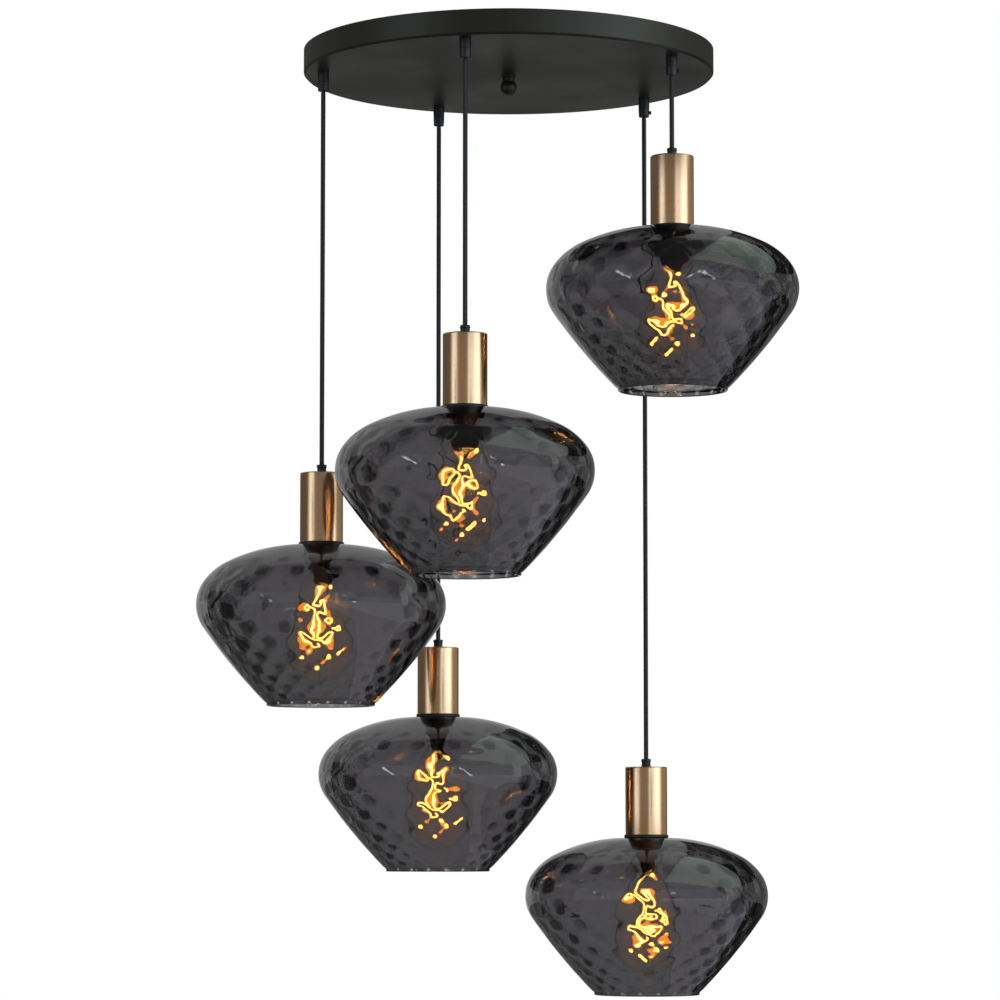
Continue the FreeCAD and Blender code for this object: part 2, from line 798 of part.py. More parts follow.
def bulb_top():
    """Height of the bulb's contact under the holder's contact."""
    end = "-cup_height - flange_height - skirt_length"
    return f"({end} + socket_depth - contact_height - bulb_gap)"


def bulb_glass():
    """The bulb's glass: a slim neck that swells to a round end, hollow."""
    top = f"({bulb_top()} - cap_height)"
    reach = "(bulb_length - cap_height)"
    swell = [(0.0, 0.39), (0.15, 0.47), (0.32, 0.68), (0.5, 0.93), (0.64, 1.0)]
    swell += [(0.75, 0.96), (0.86, 0.77), (0.95, 0.45)]
    outline = [(f"bulb_radius * {wide}", f"{top} - {reach} * {along}") for along, wide in swell]
    outline += [("0", f"{top} - {reach}"), ("0", f"{top} - {reach} + bulb_wall")]
    for along, wide in swell[::-2]:
        outline.append((f"bulb_radius * {wide} - bulb_wall", f"{top} - {reach} * {along}"))
    outline.append((f"bulb_radius * {swell[0][1]} - bulb_wall", top))
    return turned(outline, "bulb_sides")


def bulb_cap():
    """The bulb's screw cap with its insulator and its centre contact."""
    top = bulb_top()
    return turned(
        [
            ("0", top),
            ("cap_tip", top),
            ("cap_tip", f"{top} - cap_tip_height"),
            ("cap_radius", f"{top} - cap_shoulder"),
            ("cap_radius", f"{top} - cap_height"),
            ("0", f"{top} - cap_height"),
        ],
        "bulb_sides",
    )


def filament():
    """The glass stem and the filament, a strip bent into a spiral."""
    base = f"({bulb_top()} - cap_height)"
    stem = turned(
        [
            ("0", base),
            ("stem_radius", base),
            ("stem_radius / 2", f"{base} - stem_height"),
            ("0", f"{base} - stem_height"),
        ],
        "neck_sides",
    )
    coil = doc.addObject("Part::Feature", "coil")
    coil.Shape = coil_solid(number(f"{base} - stem_height + coil_width"))
    return group([stem, coil])


def coil_solid(top):
    """A square strip wound downwards from the stem at a height, as one solid."""
    steps = int(number("neck_sides"))
    count = int(number("coil_turns") * steps)
    radius = number("coil_radius")
    drop = number("coil_height") / count
    half = number("coil_width") / 2
    rings = []
    for step in range(count + 1):
        turn = 2 * math.pi * step / steps
        out = FreeCAD.Vector(math.cos(turn), math.sin(turn), 0)
        reach = radius if step else number("stem_radius / 2") + half
        middle = out * reach + FreeCAD.Vector(0, 0, top - drop * step)
        up = FreeCAD.Vector(0, 0, half)
        rings.append([middle + out * half + up, middle - out * half + up])
        rings[-1] += [middle - out * half - up, middle + out * half - up]
    faces = [flat_face(rings[0]), flat_face(rings[-1])]
    for first, second in zip(rings, rings[1:]):
        for at in range(4):
            after = (at + 1) % 4
            faces.append(flat_face([first[at], first[after], second[after]]))
            faces.append(flat_face([first[at], second[after], second[at]]))
    print(f"coil: {drop * steps - 2 * half:.1f} mm free between its turns")
    return close_solid(faces)


def build():
    """Builds every sub-part. What the five lamps share is drawn once and placed five times."""
    fill_sheet()
    ceiling_plate()
    mounting_bracket()
    centre_stud()
    lock_nuts()
    knob_washer()
    ball_nut()
    keep("plate_grips", group([plate_grip(lamp) for lamp in LAMPS]))
    keep("grip_screws", group([clamp_screw(lamp) for lamp in LAMPS]))
    terminal_block()
    cord_tails()
    shared = {
        "cup_grip": cup_grip(),
        "holder_cup": holder_cup(),
        "lampholder": lampholder(),
        "shade_ring": shade_ring(),
        "glass_shade": glass_shade(),
        "bulb_glass": bulb_glass(),
        "bulb_cap": bulb_cap(),
        "filament": filament(),
    }
    for lamp in LAMPS:
        cord_neck(lamp)
        cord(lamp)
        for name, form in shared.items():
            keep(f"{name}_{lamp}", on_cup(group([form]), lamp))
    doc.recompute()


def check():
    """Stops if any object failed or any sub-part has no sound shape."""
    for thing in doc.Objects:
        if "Invalid" in thing.State or "Error" in thing.State:
            raise RuntimeError(f"{thing.Name} ({thing.Label}) failed")
    for name, thing in nodes.items():
        if thing.Shape.isNull() or not thing.Shape.isValid():
            raise RuntimeError(f"{name} has no sound shape")
        if not thing.Shape.Solids or thing.Shape.Volume <= 0:
            raise RuntimeError(f"{name} has no solid")


def export():
    """Writes each sub-part to its own file."""
    os.makedirs("parts", exist_ok=True)
    for name, thing in nodes.items():
        thing.Shape.exportStep(f"parts/{name}.step")


build()
check()
export()
print(f"{len(nodes)} sub-parts")
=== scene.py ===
import logging
import math
from collections.abc import Callable, Iterable
from dataclasses import dataclass, field
from enum import Enum

import bpy
from mathutils import Matrix, Vector


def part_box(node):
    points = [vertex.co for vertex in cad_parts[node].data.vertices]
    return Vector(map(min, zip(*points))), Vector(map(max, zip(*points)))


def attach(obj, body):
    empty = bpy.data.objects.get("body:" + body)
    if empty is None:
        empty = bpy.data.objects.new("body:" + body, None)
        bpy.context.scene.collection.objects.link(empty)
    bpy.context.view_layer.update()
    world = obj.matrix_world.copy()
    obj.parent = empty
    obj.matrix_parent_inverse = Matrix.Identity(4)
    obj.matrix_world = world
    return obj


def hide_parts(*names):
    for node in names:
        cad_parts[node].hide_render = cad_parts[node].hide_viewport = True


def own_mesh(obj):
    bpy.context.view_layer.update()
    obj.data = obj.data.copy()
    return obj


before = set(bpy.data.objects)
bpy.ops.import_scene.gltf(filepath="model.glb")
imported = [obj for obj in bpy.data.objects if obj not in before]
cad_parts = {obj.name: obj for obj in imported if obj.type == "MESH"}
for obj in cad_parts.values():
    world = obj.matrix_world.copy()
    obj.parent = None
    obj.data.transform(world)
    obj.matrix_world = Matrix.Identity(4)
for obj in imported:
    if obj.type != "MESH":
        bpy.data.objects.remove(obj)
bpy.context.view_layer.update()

log = logging.getLogger("cluster_pendant")

MM = 0.001
LAMP_COUNT = 5
# A point nearer to the axis than this stands on it
ON_AXIS = 1e-7
# A rounded corner takes less than half of the edges beside it
EDGE_SHARE = 0.48
# Of each lamp: pole and face of the terminal block, a point of the cord's first bend in
# the pan, and the cord's length there
TAILS = (
    (1, -1, (141, -84), 224),
    (-1, -1, (-38, -160), 238),
    (-1, 1, (-165, -8), 227),
    (0, 1, (-60, 153), 168),
    (1, 1, (120, 114), 180),
)
Outline = list[tuple[float, float]]
Corners = list[tuple[float, float, float]]
Color = tuple[float, float, float]


class Slot(Enum):
    """The record's material slots, which each finish carries."""

    BLACK_METAL = "black_metal"
    STEEL = "steel"
    BLACK_PLASTIC = "black_plastic"
    TERMINAL = "terminal_plastic"
    CORD = "cord_sleeve"
    BRASS = "brushed_brass"
    SMOKED_GLASS = "smoked_glass"
    CLEAR_GLASS = "clear_glass"
    CAP = "cap_metal"
    FILAMENT = "filament_metal"


class Seen(Enum):
    """Whether a card is seen in reflections and whether it is seen through the glass."""

    BOTH = (True, True)
    MIRRORED = (True, False)
    THROUGH = (False, True)


# Shapes


def rounded(corners: Iterable[tuple[float, float, float]], steps: int = 5) -> Outline:
    """Rounds the corners of a closed outline.

    Args:
        corners: Radius, height and rounding of each corner, in millimetres.
        steps: Points on each rounded corner.

    Returns:
        The outline's points in metres.
    """
    corners = list(corners)
    points: Outline = []
    for at, (r, z, bend) in enumerate(corners):
        here = Vector((r, z))
        if not bend:
            points.append((r * MM, z * MM))
            continue
        before = Vector(corners[at - 1][:2]) - here
        after = Vector(corners[(at + 1) % len(corners)][:2]) - here
        half = before.angle(after) / 2
        most = EDGE_SHARE * min(before.length, after.length)
        reach = min(bend / math.tan(half), most)
        start = here + before.normalized() * reach
        end = here + after.normalized() * reach
        for step in range(steps + 1):
            share = step / steps
            point = (
                start * (1 - share) ** 2 + here * 2 * share * (1 - share) + end * share**2
            )
            points.append((point.x * MM, point.y * MM))
    return points


def flowing(points: Outline, steps: int) -> Outline:
    """A smooth line through points, as a Catmull-Rom spline.

    Args:
        points: Radius and height of each point, in millimetres.
        steps: Stretches between two points.

    Returns:
        The line's points in metres, ends included.
    """
    line: Outline = []
    padded = [points[0], *points, points[-1]]
    for a, b, c, d in zip(padded, padded[1:], padded[2:], padded[3:]):
        for step in range(steps):
            t = step / steps
            line.append(
                tuple(
                    MM
                    * 0.5
                    * (
                        2 * q
                        + (r - p) * t
                        + (2 * p - 5 * q + 4 * r - s) * t**2
                        + (3 * q - p - 3 * r + s) * t**3
                    )
                    for p, q, r, s in zip(a, b, c, d)
                )
            )
    line.append((points[-1][0] * MM, points[-1][1] * MM))
    return line


def link_piece(name: str, data: bpy.types.ID) -> bpy.types.Object:
    """Puts a new object in the scene.

    Args:
        name: Name of the object.
        data: Its mesh, curve, camera or light.

    Returns:
        The object.
    """
    piece = bpy.data.objects.new(name, data)
    bpy.context.scene.collection.objects.link(piece)
    return piece


def new_piece(name: str, points: list, faces: list, sharp: float = 35) -> bpy.types.Object:
    """Makes a smooth-shaded mesh object.

    Args:
        name: Name of the piece.
        points: Its vertices.
        faces: Its faces, as vertex numbers.
        sharp: Angle in degrees over which an edge stays sharp.

    Returns:
        The new object.
    """
    mesh = bpy.data.meshes.new(name)
    mesh.from_pydata(points, [], faces)
    mesh.validate()
    mesh.shade_smooth()
    mesh.set_sharp_from_angle(angle=math.radians(sharp))
    return link_piece(name, mesh)


def lathe(
    name: str,
    outline: Outline,
    segments: int,
    closed: bool = True,
    places: Iterable[Matrix] = (Matrix.Identity(4),),
    shift: Callable[[int, float], float] | None = None,
    sharp: float = 35,
) -> bpy.types.Object:
    """Turns an outline about the Z axis.

    Args:
        name: Name of the piece.
        outline: Radius and height of each point, in metres.
        segments: Steps round the axis.
        closed: Whether the last point joins the first.
        places: Where each copy of the form goes in the piece.
        shift: Change of radius at a point of the outline and an angle.
        sharp: Angle in degrees over which an edge stays sharp.

    Returns:
        The piece.
    """
    points: list[Vector] = []
    faces: list[tuple[int, ...]] = []
    for matrix in places:
        rings: list[list[int]] = []
        for at, (radius, height) in enumerate(outline):
            count = segments if radius > ON_AXIS else 1
            ring = []
            for step in range(count):
                angle = 2 * math.pi * step / segments
                reach = radius + (shift(at, angle) if shift else 0)
                place = (reach * math.cos(angle), reach * math.sin(angle), height)
                ring.append(len(points))
                points.append(matrix @ Vector(place))
            rings.append(ring)
        after = rings[1:] + rings[:1] if closed else rings[1:]
        for one, two in zip(rings, after):
            for step in range(segments):
                corners = [one[step % len(one)], two[step % len(two)]]
                corners += [two[(step + 1) % len(two)], one[(step + 1) % len(one)]]
                face = tuple(dict.fromkeys(corners))
                if len(face) > 2:
                    faces.append(face)
    return new_piece(name, points, faces, sharp)


def wire(
    name: str, points: Iterable[Vector], radius: float, closed: bool = False
) -> bpy.types.Object:
    """A round wire along a smooth line near its points.

    Args:
        name: Name of the piece.
        points: The line's control points.
        radius: Radius of the wire.
        closed: Whether the wire is a loop.

    Returns:
        The piece, a curve.
    """
    curve = bpy.data.curves.new(name, "CURVE")
    curve.dimensions = "3D"
    curve.bevel_depth = radius
    curve.bevel_resolution = 3
    curve.resolution_u = 6
    curve.use_fill_caps = True
    points = list(points)
    spline = curve.splines.new("NURBS")
    spline.points.add(len(points) - 1)
    for place, point in zip(spline.points, points):
        place.co = (*point, 1)
    spline.order_u = 3
    spline.use_endpoint_u = not closed
    spline.use_cyclic_u = closed
    return link_piece(name, curve)


# Materials and the node groups that several finishes share


def new_material(name: str, **constants: object) -> bpy.types.Material:
    """Makes a material with a Principled shader.

    Args:
        name: Name of the material.
        constants: Values of the shader's own sockets, by name with _ for a space.

    Returns:
        The material.
    """
    material = bpy.data.materials.new(name)
    material.use_nodes = True
    shader = material.node_tree.nodes["Principled BSDF"]
    for label, value in constants.items():
        shader.inputs[label.replace("_", " ")].default_value = value
    return material


def new_group(
    name: str, inputs: dict[str, tuple[str, object]], outputs: dict[str, str]
) -> tuple[bpy.types.NodeTree, bpy.types.Node, bpy.types.Node]:
    """Makes an empty node group with its sockets.

    Args:
        name: Name of the group.
        inputs: Type and default value of each input.
        outputs: Type of each output.

    Returns:
        The group, its input node and its output node.
    """
    group = bpy.data.node_groups.new(name, "ShaderNodeTree")
    for label, (kind, value) in inputs.items():
        socket = group.interface.new_socket(label, in_out="INPUT", socket_type=kind)
        socket.default_value = value
    for label, kind in outputs.items():
        group.interface.new_socket(label, in_out="OUTPUT", socket_type=kind)
    return group, group.nodes.new("NodeGroupInput"), group.nodes.new("NodeGroupOutput")


def add_node(
    tree: bpy.types.NodeTree, kind: str, settings: dict | None = None, **sockets: object
) -> bpy.types.Node:
    """Adds a node, sets it and joins its inputs.

    Args:
        tree: The node tree.
        kind: The node's type, without "ShaderNode".
        settings: The node's own properties.
        sockets: Value or output for each input, by name with _ for a space, or by _number.

    Returns:
        The node.
    """
    node = tree.nodes.new("ShaderNode" + kind)
    for name, value in (settings or {}).items():
        setattr(node, name, value)
    for name, value in sockets.items():
        if name[1:].isdigit():
            socket = node.inputs[int(name[1:])]
        else:
            socket = node.inputs[name.replace("_", " ")]
        if isinstance(value, bpy.types.NodeSocket):
            tree.links.new(value, socket)
        else:
            socket.default_value = value
    return node


def calculate(
    tree: bpy.types.NodeTree, operation: str, one: bpy.types.NodeSocket, two: bpy.types.NodeSocket
) -> bpy.types.NodeSocket:
    """Output of a Math node with two inputs."""
    return add_node(tree, "Math", {"operation": operation}, _0=one, _1=two).outputs[0]


def mix_colors(
    tree: bpy.types.NodeTree, mask: bpy.types.NodeSocket, dark: Color, light: Color
) -> bpy.types.NodeSocket:
    """Output of a Mix node that goes from one colour to another by a mask."""
    ends = {"_6": (*dark, 1), "_7": (*light, 1)}
    return add_node(tree, "Mix", {"data_type": "RGBA"}, Factor=mask, **ends).outputs[2]


def build_grain() -> bpy.types.NodeTree:
    """Fine grain of plastic and paint.

    Returns:
        The group, with a fine mask and a wide one.
    """
    group, given, result = new_group(
        "fine_grain",
        {"Scale": ("NodeSocketFloat", 900.0), "Patch Scale": ("NodeSocketFloat", 30.0)},
        {"Grain": "NodeSocketFloat", "Patches": "NodeSocketFloat"},
    )
    place = add_node(group, "TexCoord").outputs["Object"]
    for size, detail, label in (("Scale", 3.0, "Grain"), ("Patch Scale", 4.0, "Patches")):
        scale = given.outputs[size]
        noise = add_node(group, "TexNoise", Vector=place, Scale=scale, Detail=detail)
        group.links.new(noise.outputs["Fac"], result.inputs[label])
    return group


def build_brushing() -> bpy.types.NodeTree:
    """Fine scratches round the Z axis, with slow changes from band to band.

    Returns:
        The group, with a mask of lines and one of bands.
    """
    group, given, result = new_group(
        "brushed_round",
        {"Lines": ("NodeSocketFloat", 2500.0), "Along": ("NodeSocketFloat", 6.0)},
        {"Lines": "NodeSocketFloat", "Bands": "NodeSocketFloat"},
    )
    place = add_node(group, "TexCoord").outputs["Object"]
    parts = add_node(group, "SeparateXYZ", Vector=place).outputs
    angle = calculate(group, "ARCTAN2", parts["Y"], parts["X"])
    along = calculate(group, "MULTIPLY", angle, given.outputs["Along"])
    down = calculate(group, "MULTIPLY", parts["Z"], given.outputs["Lines"])
    flat = add_node(group, "CombineXYZ", X=along, Y=down).outputs[0]
    for scale, detail, label in ((1.0, 4.0, "Lines"), (0.08, 2.0, "Bands")):
        noise = add_node(group, "TexNoise", Vector=flat, Scale=scale, Detail=detail)
        group.links.new(noise.outputs["Fac"], result.inputs[label])
    return group


# Finishes


class Finish:
    """A material with a Principled shader and short ways to feed it."""

    def __init__(self, name: str, slot: Slot, **constants: object) -> None:
        """Starts a finish.

        Args:
            name: Name of the material.
            slot: The record's slot that it belongs to.
            constants: Values set on the shader's own sockets.
        """
        self.slot = slot
        self.material = new_material(name, **constants)
        self.tree = self.material.node_tree
        self.shader = self.tree.nodes["Principled BSDF"]

    def place_group(self, group: bpy.types.NodeTree, **values: float) -> bpy.types.NodeOutputs:
        """Places a shared node group.

        Args:
            group: The group.
            values: Values of its inputs.

        Returns:
            The group's outputs.
        """
        node = self.tree.nodes.new("ShaderNodeGroup")
        node.node_tree = group
        for label, value in values.items():
            node.inputs[label.replace("_", " ")].default_value = value
        return node.outputs

    def feed(self, source: bpy.types.NodeSocket, label: str) -> None:
        """Joins an output to one of the shader's inputs."""
        self.tree.links.new(source, self.shader.inputs[label])

    def vary_color(self, mask: bpy.types.NodeSocket, dark: Color, light: Color) -> None:
        """Mixes the base colour between two colours by a mask."""
        self.feed(mix_colors(self.tree, mask, dark, light), "Base Color")

    def vary_roughness(self, mask: bpy.types.NodeSocket, low: float, high: float) -> None:
        """Spreads the roughness between two values by the middle part of a mask."""
        limits = {"From_Min": 0.3, "From_Max": 0.7, "To_Min": low, "To_Max": high}
        self.feed(add_node(self.tree, "MapRange", Value=mask, **limits).outputs[0], "Roughness")

    def raise_bump(
        self, height: bpy.types.NodeSocket, strength: float, distance: float
    ) -> None:
        """Turns a height into a bump of the surface."""
        sizes = {"Strength": strength, "Distance": distance}
        self.feed(add_node(self.tree, "Bump", Height=height, **sizes).outputs[0], "Normal")

    def dress(self, piece: bpy.types.Object) -> None:
        """Gives the finish to a new piece.

        Args:
            piece: The piece.
        """
        piece.data.materials.clear()
        piece.data.materials.append(self.material)

    def dress_node(self, node: str) -> None:
        """Gives the finish to a node of the frame."""
        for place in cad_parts[node].material_slots:
            place.material = self.material


class Finishes:
    """All finishes of the pendant, each built once."""

    def __init__(self) -> None:
        """Builds the shared groups and every finish."""
        self.grain = build_grain()
        self.brushing = build_brushing()
        self.black_paint = self.satin_paint()
        self.black_plastic = self.moulded("black_plastic", Slot.BLACK_PLASTIC, 0.012)
        self.sleeve = self.cord_sleeve()
        self.brass = self.brushed("brushed_brass", Slot.BRASS, (0.81, 0.5, 0.26), 0.2)
        self.steel = self.brushed("zinc_steel", Slot.STEEL, (0.42, 0.42, 0.42), 0.34)
        self.nickel = self.brushed("nickel_cap", Slot.CAP, (0.6, 0.57, 0.5), 0.25)
        self.gloss = self.moulded("gloss_black", Slot.FILAMENT, 0.01)
        self.gloss.shader.inputs["Coat Weight"].default_value = 1.0
        self.cream = self.terminal_plastic()
        self.smoked = self.smoked_glass()
        self.clear = self.bulb_glass()
        self.glow = self.filament_glow("filament_core", (1.0, 0.6, 0.12), 45.0)
        # Painted glow: shells with no body of their own that give light round the wires and over
        # the lower bulb
        self.halo = self.soft_glow("filament_halo", (1.0, 0.27, 0.01), 6.0, 0.55)
        self.haze = self.soft_glow("painted_warm_glow", (1.0, 0.42, 0.2), 0.9, 0.045)

    def satin_paint(self) -> Finish:
        """Black powder paint with an orange-peel skin.

        Returns:
            The finish.
        """
        tint = (1, 0.94, 0.74, 1)
        finish = Finish("satin_black_paint", Slot.BLACK_METAL, IOR=1.5, Specular_Tint=tint)
        grain = finish.place_group(self.grain, Scale=700.0, Patch_Scale=9.0)
        finish.vary_color(grain["Patches"], (0.008, 0.0076, 0.0055), (0.013, 0.0125, 0.0092))
        finish.vary_roughness(grain["Patches"], 0.34, 0.46)
        finish.raise_bump(grain["Grain"], 0.12, 0.0003)
        return finish

    def moulded(self, name: str, slot: Slot, level: float) -> Finish:
        """Matte moulded plastic.

        Args:
            name: Name of the material.
            slot: The record's slot.
            level: Its grey level.

        Returns:
            The finish.
        """
        finish = Finish(name, slot, IOR=1.48)
        grain = finish.place_group(self.grain, Scale=1500.0, Patch_Scale=60.0)
        finish.vary_color(grain["Patches"], (level * 0.7,) * 3, (level * 1.3,) * 3)
        finish.vary_roughness(grain["Patches"], 0.38, 0.52)
        finish.raise_bump(grain["Grain"], 0.2, 0.0002)
        return finish

    def cord_sleeve(self) -> Finish:
        """The cords' black sleeve with its fine weave.

        Returns:
            The finish.
        """
        finish = Finish("cord_sleeve", Slot.CORD, IOR=1.45)
        grain = finish.place_group(self.grain, Scale=2200.0, Patch_Scale=200.0)
        finish.vary_color(grain["Grain"], (0.008, 0.008, 0.008), (0.03, 0.03, 0.03))
        finish.vary_roughness(grain["Patches"], 0.5, 0.7)
        finish.raise_bump(grain["Grain"], 0.5, 0.0003)
        return finish

    def brushed(self, name: str, slot: Slot, color: Color, rough: float) -> Finish:
        """Brushed metal, turned on a lathe.

        Args:
            name: Name of the material.
            slot: The record's slot.
            color: The metal's colour.
            rough: Its roughness.

        Returns:
            The finish.
        """
        finish = Finish(name, slot, Metallic=1.0)
        lines = finish.place_group(self.brushing)
        dark = tuple(0.9 * part for part in color)
        finish.vary_color(lines["Bands"], dark, color)
        finish.vary_roughness(lines["Lines"], rough - 0.03, rough + 0.05)
        finish.raise_bump(lines["Lines"], 0.1, 0.0001)
        return finish

    def terminal_plastic(self) -> Finish:
        """Cream plastic of the terminal block.

        Returns:
            The finish.
        """
        finish = Finish("cream_plastic", Slot.TERMINAL, IOR=1.5)
        grain = finish.place_group(self.grain, Scale=900.0, Patch_Scale=50.0)
        finish.vary_color(grain["Patches"], (0.68, 0.65, 0.56), (0.8, 0.77, 0.68))
        finish.vary_roughness(grain["Patches"], 0.3, 0.4)
        return finish

    def smoked_glass(self) -> Finish:
        """Grey smoked glass, with painted shade where the pattern is pressed in and seen aslant,
        for the dark dashes that refraction through the pattern gives.

        Returns:
            The finish.
        """
        finish = Finish(
            "smoked_glass",
            Slot.SMOKED_GLASS,
            Transmission_Weight=1.0,
            IOR=1.5,
            Roughness=0.0,
        )
        tree = finish.tree
        # Painted shade: where the pattern is pressed in, its inner faces seen from inside the
        # glass and aslant darken nearly to black
        pressed = add_node(tree, "Attribute", {"attribute_name": "pressed"}).outputs["Fac"]
        mask = add_node(tree, "NewGeometry").outputs["Backfacing"]
        facing = add_node(tree, "LayerWeight", Blend=0.5).outputs["Facing"]
        for value, low, high in ((pressed, 0.3, 0.6), (facing, 0.1, 0.165)):
            span = add_node(tree, "MapRange", Value=value, From_Min=low, From_Max=high)
            mask = calculate(tree, "MULTIPLY", mask, span.outputs[0])
        finish.vary_color(mask, (0.27, 0.264, 0.273), (0.006, 0.006, 0.006))
        grain = finish.place_group(self.grain, Scale=60.0, Patch_Scale=12.0)
        finish.raise_bump(grain["Patches"], 0.25, 0.004)
        return finish

    def bulb_glass(self) -> Finish:
        """Clear bulb glass with a faint amber tint.

        Returns:
            The finish.
        """
        finish = Finish(
            "bulb_glass",
            Slot.CLEAR_GLASS,
            Transmission_Weight=1.0,
            IOR=1.07,
            Base_Color=(1.0, 0.97, 0.92, 1),
            Roughness=0.0,
        )
        grain = finish.place_group(self.grain, Scale=60.0, Patch_Scale=20.0)
        finish.raise_bump(grain["Patches"], 0.15, 0.002)
        return finish

    def filament_glow(self, name: str, color: Color, strength: float) -> Finish:
        """A glowing wire, redder in patches.

        Args:
            name: Name of the material.
            color: Colour of its light.
            strength: Strength of its light.

        Returns:
            The finish.
        """
        finish = Finish(
            name,
            Slot.FILAMENT,
            Base_Color=(1.0, 0.7, 0.3, 1),
            Emission_Strength=strength,
            Roughness=0.6,
        )
        grain = finish.place_group(self.grain, Scale=400.0, Patch_Scale=120.0)
        redder = (color[0], color[1] * 0.75, color[2] * 0.5)
        mixed = mix_colors(finish.tree, grain["Patches"], color, redder)
        finish.feed(mixed, "Emission Color")
        return finish

    def soft_glow(self, name: str, color: Color, strength: float, alpha: float) -> Finish:
        """A painted glow on a shell with no body, which fades towards its outline.

        Args:
            name: Name of the material.
            color: Colour of its light.
            strength: Strength of its light.
            alpha: How dense it is in the middle.

        Returns:
            The finish.
        """
        finish = Finish(
            name,
            Slot.FILAMENT,
            Base_Color=(0.0, 0.0, 0.0, 1),
            Emission_Color=(*color, 1),
            Emission_Strength=strength,
            Roughness=1.0,
        )
        facing = add_node(finish.tree, "LayerWeight", Blend=0.35).outputs["Facing"]
        limits = {"From_Max": 0.9, "To_Min": alpha, "To_Max": 0.0}
        soft = add_node(finish.tree, "MapRange", Value=facing, **limits)
        finish.feed(soft.outputs[0], "Alpha")
        return finish


# Sub-assemblies


@dataclass
class Lamp:
    """One lamp's number, axis and cup, read from the frame."""

    number: int
    axis: tuple[float, float] = field(init=False)
    cup_top: float = field(init=False)

    def __post_init__(self) -> None:
        """Reads the lamp's place from its cup."""
        low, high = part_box(f"holder_cup_{self.number}")
        self.axis = ((low[0] + high[0]) / 2, (low[1] + high[1]) / 2)
        self.cup_top = high[2]

    def name(self, part: str) -> str:
        """Name of one of the lamp's nodes."""
        return f"{part}_{self.number}"

    def settle(
        self, piece: bpy.types.Object, finish: Finish, body: str, *nodes: str
    ) -> None:
        """Puts a piece that is drawn from the cup's top in its place.

        Args:
            piece: The piece.
            finish: Its finish.
            body: First word of the body that it moves with.
            nodes: First words of the nodes that it stands for.
        """
        piece.location = (*self.axis, self.cup_top)
        bpy.context.view_layer.update()
        finish.dress(piece)
        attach(piece, self.name(body))
        if nodes:
            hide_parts(*(self.name(node) for node in nodes))


